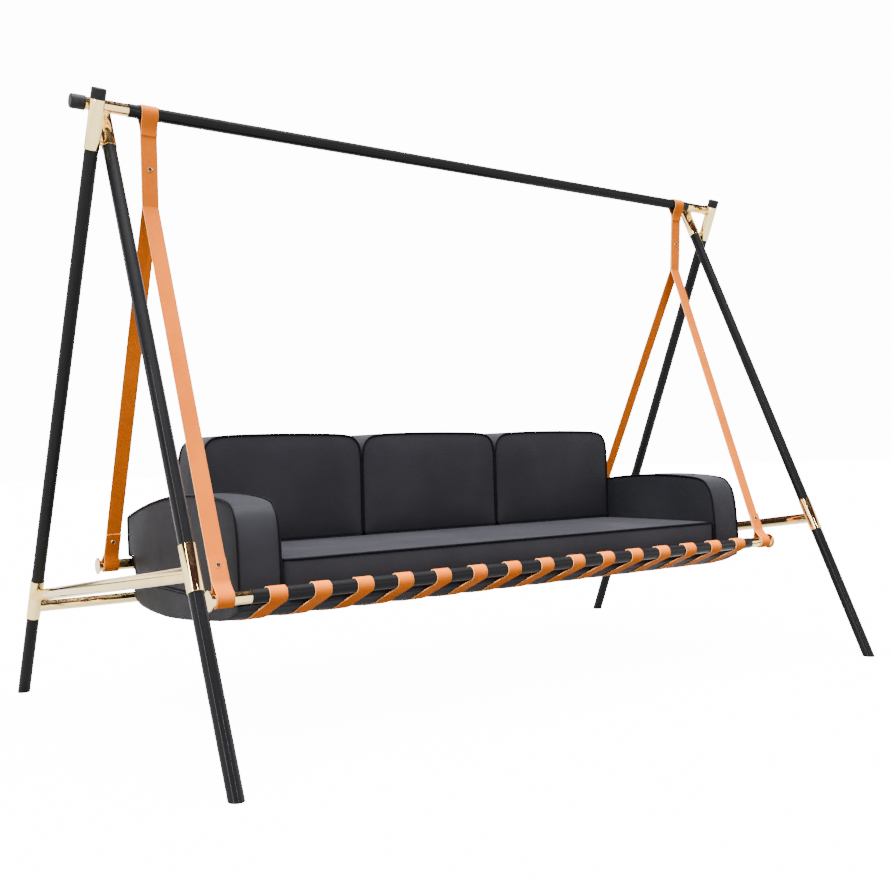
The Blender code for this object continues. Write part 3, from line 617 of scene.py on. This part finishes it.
def ribbon(name, path, width, thickness, x_of_height, material, round_off=0.0011):
    """A strap: a rounded-edge section (a across the width, b through the thickness) carried along a
    (y, z) path, so point (i, j) is path_i + b_j normal_i, at x = middle + a_j. The UV map holds the
    share of the width and the length in metres."""
    centre, length = evenly(path, 0.0045)
    tangent = np.gradient(centre, axis=0)
    tangent = tangent / np.linalg.norm(tangent, axis=1, keepdims=True)
    normal = np.stack([-tangent[:, 1], tangent[:, 0]], 1)
    half, deep = width / 2, thickness / 2
    ring = rounded([(-half, -deep), (-half * 0.35, -deep), (half * 0.35, -deep), (half, -deep),
                    (half, deep), (half * 0.35, deep), (-half * 0.35, deep), (-half, deep)],
                   round_off, closed=True)
    points = np.empty((len(centre), len(ring), 3))
    points[..., 0] = x_of_height(centre[:, 1])[:, None] + ring[None, :, 0]
    points[..., 1:] = centre[:, None, :] + normal[:, None, :] * ring[None, :, 1, None]
    faces = grid_faces(len(centre), len(ring), False, True).tolist()
    last = (len(centre) - 1) * len(ring)
    faces += [list(range(len(ring))), list(range(last, last + len(ring)))]
    made = make_piece(name, points, faces, material, 55)
    across = np.broadcast_to(ring[None, :, 0] / width + 0.5, points.shape[:2])
    table = np.stack([across, np.broadcast_to(length[:, None], across.shape)], -1).reshape(-1, 2)
    order = np.empty(len(made.data.loops), np.int32)
    made.data.loops.foreach_get("vertex_index", order)
    layer = made.data.uv_layers.new(name="strap")
    layer.data.foreach_set("uv", table[order].astype(np.float32).ravel())
    made.data.materials.append(raw_edge)
    centres = face_centres(made)
    side_on = np.abs(centres[:, 0] - x_of_height(centres[:, 2])) > half - round_off * 0.6
    sizes = np.empty(len(made.data.polygons), np.int32)
    made.data.polygons.foreach_get("loop_total", sizes)
    made.data.polygons.foreach_set("material_index", (side_on | (sizes > 4)).astype(np.int32))
    return made


def leather_grain():
    """Leather grain: small cells with soft creases between them, and a slow drift of tone."""
    group, given, result = new_group("leather_grain", {"Cell": 900.0, "Drift": 7.0},
                                     {"Height": "Float", "Tone": "Float"})
    place = add_node(group, "TexCoord").outputs["Object"]
    wavy = add_node(group, "TexNoise", {"Vector": place, "Scale": 60.0, "Detail": 2.0}).outputs["Color"]
    bent = add_node(group, "VectorMath", {0: wavy, 1: (0.004, 0.004, 0.004)}, operation="MULTIPLY").outputs[0]
    moved = add_node(group, "VectorMath", {0: place, 1: bent}, operation="ADD").outputs[0]
    cells = add_node(group, "TexVoronoi", {"Vector": moved, "Scale": given["Cell"]},
                     feature="DISTANCE_TO_EDGE").outputs["Distance"]
    crease = ranged(group, cells, 0.0, 0.22)
    soft = add_node(group, "TexNoise", {"Vector": place, "Scale": 240.0, "Detail": 4.0}).outputs["Fac"]
    height = math_node(group, "ADD", crease, math_node(group, "MULTIPLY", soft, 0.8))
    drift = add_node(group, "TexNoise", {"Vector": place, "Scale": given["Drift"], "Detail": 5.0,
                                         "Roughness": 0.55}).outputs["Fac"]
    group.links.new(height, result["Height"])
    group.links.new(drift, result["Tone"])
    return group


grain = leather_grain()


def cut_leather():
    """The raw cut edge of tan leather: pale, fibrous and matt."""
    made, tree, shader = new_material("raw_leather_edge", specular_ior_level=0.2, roughness=0.8)
    grained = use_group(tree, grain, Cell=1400.0, Drift=90.0)
    tone = mixed(tree, grained["Tone"], (0.66, 0.27, 0.07, 1), (0.80, 0.40, 0.14, 1))
    tree.links.new(tone, shader.inputs["Base Color"])
    bumped(tree, shader, grained["Height"], 0.4, 0.0003)
    return made


raw_edge = cut_leather()


def tan_leather(name, edge_share):
    """Tan leather on a strap's own UV map: fine grain, a drift of tone, fibres along the strap, a
    pressed line beside each edge and pale raw cut edges."""
    made, tree, shader = new_material(name, specular_ior_level=0.10, ior=1.15)
    grained = use_group(tree, grain, Cell=750.0, Drift=5.0)
    uv = add_node(tree, "UVMap", uv_map="strap").outputs["UV"]
    parts = add_node(tree, "SeparateXYZ", {0: uv}).outputs
    off_middle = math_node(tree, "ABSOLUTE", math_node(tree, "SUBTRACT", parts["X"], 0.5))
    stretched = add_node(tree, "Mapping", {"Vector": uv, "Scale": (28.0, 3.5, 1.0)}).outputs["Vector"]
    fibre = add_node(tree, "TexNoise", {"Vector": stretched, "Scale": 4.0, "Detail": 5.0}).outputs["Fac"]
    tone = mixed(tree, ranged(tree, grained["Tone"], 0.3, 0.7), (0.33, 0.070, 0.0018, 1),
                 (0.40, 0.088, 0.0028, 1))
    streaked = mixed(tree, ranged(tree, fibre, 0.35, 0.75, 0.0, 0.35), tone, (0.29, 0.056, 0.0015, 1))
    line_in = ranged(tree, off_middle, 0.5 - edge_share * 3.2, 0.5 - edge_share * 2.4)
    line_out = ranged(tree, off_middle, 0.5 - edge_share * 2.2, 0.5 - edge_share * 1.4, 1.0, 0.0)
    pressed = math_node(tree, "MULTIPLY", line_in, line_out)
    lined = mixed(tree, math_node(tree, "MULTIPLY", pressed, 0.45), streaked, (0.19, 0.036, 0.0012, 1))
    cut = ranged(tree, off_middle, 0.5 - edge_share, 0.5 - edge_share * 0.35)
    tree.links.new(mixed(tree, math_node(tree, "MULTIPLY", cut, 0.6), lined, (0.58, 0.22, 0.05, 1)),
                   shader.inputs["Base Color"])
    tree.links.new(ranged(tree, grained["Tone"], 0.3, 0.7, 0.62, 0.48), shader.inputs["Roughness"])
    height = math_node(tree, "SUBTRACT", grained["Height"], math_node(tree, "MULTIPLY", pressed, 2.5))
    bumped(tree, shader, height, 0.30, 0.0004)
    return made


strap_leather = tan_leather("strap_leather", 0.022)


def strap_x(side):
    """Middle of a hanging strap across the swing, by height: it leans in towards its foot."""
    def at(height):
        share = np.clip((bar_axis[2] - height) / (bar_axis[2] - rails["back"][2]), 0, 1)
        return side * (STRAP_TOP_HALF + (STRAP_FOOT_HALF - STRAP_TOP_HALF) * share)
    return at


def rail_loop(rail, start, lap):
    """Down behind a rail, round under it and up in front of the strap to the end of the lap."""
    centre = rails[rail][1:]
    up = unit(start - centre)
    back = np.array((up[1], -up[0]))
    return np.concatenate([
        drifting(centre, up, back, (0, RAIL_WRAP), (RAIL_MERGE, 0)),
        arc(centre, RAIL_WRAP, 0, -180, back)[1:],
        drifting(centre, up, back, (-RAIL_WRAP, -PLY), (0, RAIL_MERGE))[1:],
        [centre + up * lap - back * PLY]])


bar_yz = bar_axis[1:]
double_down = unit(SPLIT - bar_yz)
double_back = np.array((-double_down[1], double_down[0]))
split_reach = np.linalg.norm(SPLIT - bar_yz)
back_split = bar_yz + double_down * split_reach + double_back * PLY / 2
front_split = bar_yz + double_down * split_reach - double_back * PLY / 2
for side_name, side in SIDES:
    lap_offset = -1.5 * PLY
    back_path = np.concatenate([
        [bar_yz + double_down * TOP_LAP_DROP + double_back * lap_offset],
        drifting(bar_yz, double_down, double_back, (lap_offset, -BAR_WRAP), (TOP_MERGE_DROP, 0)),
        arc(bar_yz, BAR_WRAP, 180, 0, double_back)[1:],
        drifting(bar_yz, double_down, double_back, (BAR_WRAP, PLY / 2), (0, TOP_MERGE_DROP))[1:],
        [back_split], rail_loop("back", back_split, RAIL_LAP["back"])])
    front_path = np.concatenate([
        [bar_yz + double_down * (TOP_MERGE_DROP + 0.004) - double_back * PLY / 2, front_split],
        rail_loop("front", front_split, RAIL_LAP["front"])])
    for rail, path in (("back", back_path), ("front", front_path)):
        fit(ribbon(f"{rail}_strap_leather_{side_name}", path, STRAP_WIDTH, STRAP_THICKNESS,
                   strap_x(side), strap_leather), "seat", "tan_leather", f"{rail}_strap_{side_name}")


# Studs -------------------------------------------------------------------------------------------
# Turned brass screw studs clamp the plies together: a rolled rim with a shallow socket in the middle, painted
# near black as painted shade.
# One goes through both straps high up, and one through the lap at the foot of each strap.

# Near-black material for each stud's shallow socket: painted shade in the socket.
stud_socket_painted_shade = new_material("stud_socket_painted_shade", roughness=0.5, metallic=0.6)[0]
stud_socket_painted_shade.node_tree.nodes["Principled BSDF"].inputs["Base Color"].default_value = (0.012, 0.009, 0.007, 1)
STUD_HEAD, STUD_SOCKET, STUD_RISE = 0.0080, 0.0061, 0.0024
STUD_CLAMP = (PLY + STRAP_THICKNESS + SEAM) / 2


def stud(name, x, point, way, node):
    """A stud: a rim swept round both faces, dished in the middle to a socket."""
    axis_way = np.array((0.0, way[0], way[1]))
    face, rim = STUD_CLAMP + STUD_RISE, STUD_HEAD - 0.0009
    half = [(0, face - 0.0006), (STUD_SOCKET, face - 0.0006), (STUD_SOCKET + 0.0002, face - 0.0002),
            (STUD_SOCKET + 0.0007, face), (rim, face - 0.0007), (STUD_HEAD, STUD_CLAMP + 0.0006),
            (STUD_HEAD, STUD_CLAMP), (0.003, STUD_CLAMP)]
    profile = half + [(radius, -along) for radius, along in reversed(half)]
    centre = np.array((x, *point))
    made = turned(name, centre, axis_way, profile, brass)
    made.data.materials.append(stud_socket_painted_shade)
    offset = face_centres(made) - centre
    along = offset @ axis_way
    from_axis = np.linalg.norm(offset - along[:, None] * axis_way, axis=1)
    # Faces inside the socket take the near-black material, as painted shade.
    dark = (from_axis < STUD_SOCKET + 0.0001) & (np.abs(along) > STUD_CLAMP)
    made.data.polygons.foreach_set("material_index", dark.astype(np.int32))
    fit(made, "seat", "pale_brass", node)


for side_name, side in SIDES:
    point = bar_yz + double_down * TOP_STUD_DROP
    stud(f"upper_stud_{side_name}", strap_x(side)(point[1]), point, -double_back, f"top_stud_{side_name}")
    for rail, start in (("front", front_split), ("back", back_split)):
        centre = rails[rail][1:]
        up = unit(start - centre)
        back = np.array((up[1], -up[0]))
        point = centre + up * FOOT_STUD_UP - back * PLY / 2
        stud(f"{rail}_foot_stud_{side_name}", strap_x(side)(point[1]), point, -back,
             f"{rail}_stud_{side_name}")


# Sling bands -------------------------------------------------------------------------------------
# Fifteen leather bands, 56 mm by 3.5 mm, wrap the front rail, sag under the cushions and wrap the
# back rail. They are cut from the same hide as the straps, with raw edges.

BAND_WIDTH, BAND_THICKNESS = 0.056, 0.0035
SAG = [(0.074, 0.0593), (0.155, 0.0932), (0.341, 0.1202), (0.517, 0.1409), (0.698, 0.1533),
       (0.893, 0.1449), (0.977, 0.1090), (1.0076, 0.0547)]
band_leather = tan_leather("band_leather", 0.030)


def through(points, per_span=14):
    """A smooth curve through points (Catmull-Rom), as one array expression for each span."""
    p = np.asarray(points, float)
    p = np.concatenate([[2 * p[0] - p[1]], p, [2 * p[-1] - p[-2]]])
    t = np.linspace(0, 1, per_span, endpoint=False)[None, :, None]
    a, b, c, d = (p[k:len(p) - 3 + k, None] for k in range(4))
    curve = 0.5 * (2 * b + (c - a) * t + (2 * a - 5 * b + 4 * c - d) * t ** 2
                   + (3 * b - a - 3 * c + d) * t ** 3)
    return np.concatenate([curve.reshape(-1, 2), p[-2:-1]])


front_yz, back_yz = rails["front"][1:], rails["back"][1:]
band_wrap = RAIL_RADIUS + SEAM + BAND_THICKNESS / 2 + 0.0001
sling = [front_yz + (back_yz - front_yz) * share - (0, depth) for share, depth in SAG]
TAIL_END = -58                    # degrees round the front rail, from its rear, where the tail ends
front_turn = arc(front_yz, band_wrap, TAIL_END, 240, count=60)
back_turn = arc(back_yz, band_wrap, -10, 180)
sling_line = through([front_turn[-1], *sling, back_turn[0]])
band_line = np.concatenate([front_turn[:-1], sling_line, back_turn[1:]])
for number in range(1, 16):
    node = f"sling_band_{number:02d}"
    place = middle(node)[0]
    fit(ribbon(f"band_leather_{number:02d}", band_line, BAND_WIDTH, BAND_THICKNESS,
               lambda height, x=place: np.full(np.shape(height), x), band_leather, 0.0009),
        "seat", "tan_leather", node)


# Base pad ----------------------------------------------------------------------------------------
# The upholstered pad that fills the sling, in charcoal leather with flat side panels. It lies on
# the bands, so its underside takes their curve, and the seat and arm cushions sit on its flat top.

GAP = 0.0006
LEAST_EDGE = 0.012                # thickness of the pad where it meets the rails


def box_lattice(counts):
    """The surface of a box of cells as one closed lattice: its points as whole numbers, its quads
    turned outwards, and each point's row in the table found again by its own place."""
    quads = []
    for axis in range(3):
        b, c = (axis + 1) % 3, (axis + 2) % 3
        p, q = (g.ravel() for g in np.meshgrid(np.arange(counts[b]), np.arange(counts[c]), indexing="ij"))
        for level in (0, counts[axis]):
            corners = np.empty((len(p), 4, 3), int)
            corners[..., axis] = level
            corners[..., b] = np.stack([p, p + 1, p + 1, p], 1)
            corners[..., c] = np.stack([q, q, q + 1, q + 1], 1)
            quads.append(corners if level else corners[:, ::-1])
    stacked = np.concatenate(quads)
    places, which = np.unique(stacked.reshape(-1, 3), axis=0, return_inverse=True)
    return places, which.reshape(-1, 4)


def panel_edge(places, counts, axis, level):
    """Rows of the points round one panel of the lattice, in order."""
    b, c = (axis + 1) % 3, (axis + 2) % 3
    nb, nc = counts[b], counts[c]
    along_b = np.concatenate([np.arange(nb), np.full(nc, nb), np.arange(nb, 0, -1), np.zeros(nc, int)])
    along_c = np.concatenate([np.zeros(nb, int), np.arange(nc), np.full(nb, nc), np.arange(nc, 0, -1)])
    wanted = np.empty((len(along_b), 3), int)
    wanted[:, axis], wanted[:, b], wanted[:, c] = level, along_b, along_c
    base = max(counts) + 1
    code = (places * (base * base, base, 1)).sum(1)
    order = np.argsort(code)
    return order[np.searchsorted(code[order], (wanted * (base * base, base, 1)).sum(1))]


def charcoal_leather():
    """Smooth charcoal leather: a very fine grain, a slow drift of tone and faint pulls."""
    made, tree, shader = new_material("charcoal_leather", specular_ior_level=0.15, ior=1.2)
    grained = use_group(tree, grain, Cell=620.0, Drift=3.0)
    place = add_node(tree, "TexCoord").outputs["Object"]
    pull = add_node(tree, "TexNoise", {"Vector": place, "Scale": 14.0, "Detail": 3.0}).outputs["Fac"]
    tone = mixed(tree, ranged(tree, grained["Tone"], 0.3, 0.7), (0.0094, 0.0093, 0.0112, 1),
                 (0.0124, 0.0122, 0.0145, 1))
    tree.links.new(tone, shader.inputs["Base Color"])
    tree.links.new(ranged(tree, grained["Tone"], 0.3, 0.7, 0.54, 0.44), shader.inputs["Roughness"])
    height = math_node(tree, "ADD", math_node(tree, "MULTIPLY", grained["Height"], 0.35),
                       math_node(tree, "MULTIPLY", pull, 3.0))
    bumped(tree, shader, height, 0.22, 0.0008)
    return made


def piping_cord_seam_shade():
    """Welt cord: the same leather drawn round a cord, a little glossier where it is tight, and painted darker
    than the cover as painted shade along the seams.
    """
    made, tree, shader = new_material("piping_cord_seam_shade", specular_ior_level=0.15, ior=1.15)
    grained = use_group(tree, grain, Cell=1100.0, Drift=30.0)
    # The cord's colour is darker than the cover's: painted shade along the seams.
    tone = mixed(tree, grained["Tone"], (0.0022, 0.0022, 0.0028, 1), (0.0040, 0.0040, 0.0050, 1))
    tree.links.new(tone, shader.inputs["Base Color"])
    tree.links.new(ranged(tree, grained["Tone"], 0.3, 0.7, 0.38, 0.28), shader.inputs["Roughness"])
    bumped(tree, shader, grained["Height"], 0.25, 0.0003)
    return made


leather, piping = charcoal_leather(), piping_cord_seam_shade()
FRAMES = 20
PIPING_RADIUS, PIPING_STAND = 0.0036, 0.0012


def puff(piece, seams, pressure, cap):
    """Cloth simulation of a stuffed cover: pressure from inside, held at its seams, and no point
    moves further than the cap. Afterwards the moved points replace the mesh's own."""
    held = piece.vertex_groups.new(name="seams")
    held.add([int(row) for row in seams], 0.85, "REPLACE")
    cloth = piece.modifiers.new("puff", "CLOTH")
    settings = cloth.settings
    settings.quality = 5
    settings.mass = 0.35
    settings.tension_stiffness = settings.compression_stiffness = 22
    settings.shear_stiffness = 12
    settings.bending_stiffness = 1.2
    settings.use_pressure = True
    settings.uniform_pressure_force = pressure
    settings.vertex_group_mass = "seams"
    settings.effector_weights.gravity = 0
    cloth.collision_settings.use_collision = False
    scene = bpy.context.scene
    for number in range(1, FRAMES + 1):
        scene.frame_set(number)
    moved = piece.evaluated_get(bpy.context.evaluated_depsgraph_get())
    before = gathered(piece.data.vertices, "co")
    move = gathered(moved.data.vertices, "co") - before
    size = np.maximum(np.linalg.norm(move, axis=1, keepdims=True), 1e-9)
    limited = before + move / size * cap * np.tanh(size / cap)
    piece.modifiers.remove(cloth)
    piece.vertex_groups.clear()
    scene.frame_set(1)
    piece.data.vertices.foreach_set("co", limited.astype(np.float32).ravel())
    piece.data.update()


def piped_edge(name, piece, rows):
    """A cord round a seam: point (i, j) = seam_i + r (n_i cos a_j + b_i sin a_j), where n is the
    cover's own normal, squared up to the seam, and b is square to both."""
    points = piece.data.vertices
    path, out = gathered(points, "co")[rows], gathered(points, "normal")[rows]
    for _ in range(2):
        path = (np.roll(path, 1, 0) + 2 * path + np.roll(path, -1, 0)) / 4
        out = (np.roll(out, 1, 0) + 2 * out + np.roll(out, -1, 0)) / 4
    tangent = np.roll(path, -1, 0) - np.roll(path, 1, 0)
    tangent = tangent / np.linalg.norm(tangent, axis=1, keepdims=True)
    out = out - (out * tangent).sum(1, keepdims=True) * tangent
    out = out / np.linalg.norm(out, axis=1, keepdims=True)
    side = np.cross(tangent, out)
    angle = np.linspace(0, 2 * np.pi, 12, endpoint=False)[None, :, None]
    centre = path + out * PIPING_STAND
    spokes = np.cos(angle) * out[:, None] + np.sin(angle) * side[:, None]
    points = centre[:, None] + PIPING_RADIUS * spokes
    made = make_piece(name, points, grid_faces(len(rows), 12, True, True).tolist(), piping, 80)
    fit(made, "seat", "black_upholstery")
    return made


def cushion(name, node, cell, shape, piped, pressure=4.0, cap=0.010, contact=None):
    """A boxed cushion. The lattice of a box is mapped by shape, puffed, kept off its neighbours by
    contact, piped round the named panels and smoothed by one subdivision."""
    low, high = (np.array(corner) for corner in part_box(node))
    counts = np.maximum(np.round((high - low) / cell).astype(int), 4)
    places, quads = box_lattice(counts)
    share = places / counts
    points = shape(share, low, high)
    made = bpy.data.objects.new(name, bpy.data.meshes.new(name))
    made.data.from_pydata(points.tolist(), [], quads.tolist())
    made.data.materials.append(leather)
    made.data.shade_smooth()
    bpy.context.scene.collection.objects.link(made)
    edges = {panel: panel_edge(places, counts, *panel_place) for panel, panel_place in {
        "left": (0, 0), "right": (0, counts[0]), "front": (1, 0), "rear": (1, counts[1]),
        "under": (2, 0), "top": (2, counts[2])}.items()}
    seams = np.unique(np.concatenate([edges[panel] for panel in piped])) if piped else []
    puff(made, seams, pressure, cap)
    if contact:
        kept = contact(gathered(made.data.vertices, "co").astype(float), low, high)
        made.data.vertices.foreach_set("co", kept.astype(np.float32).ravel())
        made.data.update()
    for panel in piped:
        piped_edge(f"{name}_{panel}_piping", made, edges[panel])
    smoother = made.modifiers.new("smooth", "SUBSURF")
    smoother.levels = smoother.render_levels = 1
    fit(made, "seat", "black_upholstery", node)
    return made


def crown(share, height, first, second):
    """Height of a panel's crown over its two shares: nothing at its edges, most in its middle."""
    a, b = share[:, first], share[:, second]
    return height * np.sqrt(np.maximum(16 * a * (1 - a) * b * (1 - b), 0))


def round_corners(share, first, second, size, radius):
    """Round a panel's corners to about a radius. A corner moves in by (1 - 1/sqrt 2) r on each axis,
    and the pull fades as |a|^m |b|^n, with the powers set to leave a tenth of it r from the corner."""
    a, b = share[:, first] * 2 - 1, share[:, second] * 2 - 1
    half_a, half_b = size[0] / 2, size[1] / 2
    fade = (np.abs(a) ** (np.log(0.1) / np.log(1 - radius / half_a))
            * np.abs(b) ** (np.log(0.1) / np.log(1 - radius / half_b)))
    inset = (1 - math.sqrt(0.5)) * radius
    made = share.copy()
    made[:, first] = (a * (1 - inset / half_a * fade) + 1) / 2
    made[:, second] = (b * (1 - inset / half_b * fade) + 1) / 2
    return made


sling_order = np.argsort(sling_line[:, 0])


def pad_shape(share, low, high):
    """Side to side by x; front to back by y; from the sling's curve up to the flat top by z."""
    x = low[0] + (high[0] - low[0]) * share[:, 0]
    y = low[1] + (high[1] - low[1]) * share[:, 1]
    floor_line = np.interp(y, sling_line[sling_order, 0], sling_line[sling_order, 1])
    slope = np.gradient(sling_line[sling_order, 1], sling_line[sling_order, 0])
    lean = np.interp(y, sling_line[sling_order, 0], slope)
    lift = (BAND_THICKNESS / 2 + 2 * GAP) * np.sqrt(1 + lean ** 2)
    bottom = np.minimum(floor_line + lift, high[2] - LEAST_EDGE)
    z = bottom + (high[2] - bottom) * share[:, 2]
    return np.stack([x, y, z], 1)


cushion("base_pad_cover", "base_pad", 0.016, pad_shape, [], pressure=0.4, cap=0.001)


# Seat cushion ------------------------------------------------------------------------------------
# One long boxed cushion over the whole seat, firm foam in charcoal leather, with piping round its
# top and bottom panels, painted darker than the cover as seam shade. It is flat under the back cushions and
# crowned in front of them.

BACK_FACE = float(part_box("back_cushion_middle")[0].y)
INSET = 0.004
SEAT_CORNER = 0.030


def seat_shape(share, low, high):
    """A flat box drawn in a little at its front and top, with a low crown."""
    at = round_corners(share, 0, 1, high[:2] - low[:2], SEAT_CORNER)
    points = low + (high - low) * at
    points[:, 1] = low[1] + INSET + (high[1] - low[1] - 2 * INSET) * at[:, 1]
    points[:, 2] -= INSET * share[:, 2]
    points[:, 1] += np.where(share[:, 1] == 0, -crown(share, 0.003, 0, 2), 0)
    return points


def seat_contact(points, low, high):
    """Flat on the pad and under the back cushions; no wider than the gap between the arms."""
    x, y, z = points.T
    free = np.clip((BACK_FACE - 0.02 - y) / 0.10, 0, 1)
    ceiling = high[2] - 0.0002 + 0.009 * free * free * (3 - 2 * free)
    return np.stack([np.clip(x, low[0], high[0]), np.clip(y, low[1] - 0.006, high[1] + 0.004),
                     np.clip(z, low[2], ceiling)], 1)


cushion("seat_cushion_cover", "seat_cushion", 0.014, seat_shape, ["top", "under"],
        pressure=4.0, cap=0.008, contact=seat_contact)


# Back cushions -----------------------------------------------------------------------------------
# Three loose boxed cushions that lean on the sling's rise. Each has a crowned front panel with
# rounded top corners, and piping round its front and rear panels.

REAR_TOP_STEP = 0.052             # how far the rear leans forward from foot to top
BACK_TOP_CORNER, BACK_FOOT_CORNER, BACK_DOME = 0.072, 0.014, 0.007


def back_shape(share, low, high):
    """A box whose rear leans forward, with rounded top corners and a slightly domed top."""
    size = high - low
    top, foot = (round_corners(share, 0, 2, (size[0], size[2]), radius)
                 for radius in (BACK_TOP_CORNER, BACK_FOOT_CORNER))
    at = np.where(share[:, 2:] < 0.5, foot, top)
    x = low[0] + 0.003 + (size[0] - 0.006) * at[:, 0]
    dome = BACK_DOME * (1 - (2 * share[:, 0] - 1) ** 2) * share[:, 2] ** 3
    z = low[2] + (size[2] - 0.008) * at[:, 2] + dome
    rear = high[1] - REAR_TOP_STEP * at[:, 2] - INSET
    y = low[1] + INSET + (rear - low[1] - INSET) * share[:, 1]
    return np.stack([x, y, z], 1)


def back_contact(points, low, high):
    """Flat on the seat, and no further sideways than its neighbours."""
    x, y, z = points.T
    return np.stack([np.clip(x, low[0], high[0]), np.clip(y, low[1] - 0.010, high[1] + 0.006),
                     np.clip(z, low[2] + 0.0006, high[2] + 0.006)], 1)


for place in ("left", "middle", "right"):
    cushion(f"back_cushion_cover_{place}", f"back_cushion_{place}", 0.011, back_shape,
            ["front", "rear"], pressure=5.0, cap=0.014, contact=back_contact)


# Arm cushions ------------------------------------------------------------------------------------
# Boxed cushions stood on edge, with a domed top and a soft shoulder at the front. Two flat panels
# are piped all round and joined by a gusset, and the rear foot is cut back over the rail.

ARM_SHOULDER, ARM_PEAK = 0.075, 0.34       # corner radius at the front; share of the depth at the top
ARM_FRONT_DROP, ARM_REAR_DROP = 0.024, 0.092
ARM_LEAN, ARM_TAPER = 0.022, 0.010
FOOT_CLEARANCE = 0.0040           # of the rear foot over the bands on the back rail


def arm_shape(share, low, high):
    """Two flat panels of one outline: the front leans back as it rises, the top is domed, and the
    foot steps up over the back rail."""
    size = (high[1] - low[1], high[2] - low[2])
    at = np.where((share[:, 2:] < 0.5) | (share[:, 1:2] > 0.5), share,
                  round_corners(share, 1, 2, size, ARM_SHOULDER))
    depth = high[1] - low[1] - ARM_TAPER * (1 - share[:, 2]) - 0.006
    y = low[1] + depth * at[:, 1]
    lean = np.clip(1 - share[:, 1] * 6, 0, 1)
    y = y + ARM_LEAN * lean * share[:, 2] ** 2
    along = (y - low[1]) / depth
    drop = np.where(along < ARM_PEAK, ARM_FRONT_DROP * ((ARM_PEAK - along) / ARM_PEAK) ** 2,
                    ARM_REAR_DROP * ((along - ARM_PEAK) / (1 - ARM_PEAK)) ** 2)
    top = high[2] - INSET - drop
    step = np.clip((y - (rails["back"][1] - 0.085)) / 0.055, 0, 1)
    raised = rails["back"][2] + RAIL_RADIUS + BAND_THICKNESS + FOOT_CLEARANCE - low[2]
    foot = low[2] + raised * step ** 2 * (3 - 2 * step)
    z = foot + (top - foot) * at[:, 2]
    return np.stack([low[0] + 0.002 + (high[0] - low[0] - 0.004) * share[:, 0], y, z], 1)


def arm_contact(points, low, high):
    """Flat on the pad and against the seat, and clear of the back rail and its bands."""
    x, y, z = points.T
    inner = low[0] < 0
    x = np.minimum(x, high[0]) if inner else np.maximum(x, low[0])
    clear = rails["back"][2] + RAIL_RADIUS + BAND_THICKNESS + 0.0025
    floor_line = np.where(y > rails["back"][1] - RAIL_RADIUS - BAND_THICKNESS - 0.006, clear, low[2])
    return np.stack([x, np.clip(y, low[1] - 0.004, high[1] + 0.004), np.maximum(z, floor_line)], 1)


for side_name, side in SIDES:
    cushion(f"arm_cushion_cover_{side_name}", f"arm_cushion_{side_name}", 0.011, arm_shape,
            ["left", "right"], pressure=4.0, cap=0.009, contact=arm_contact)
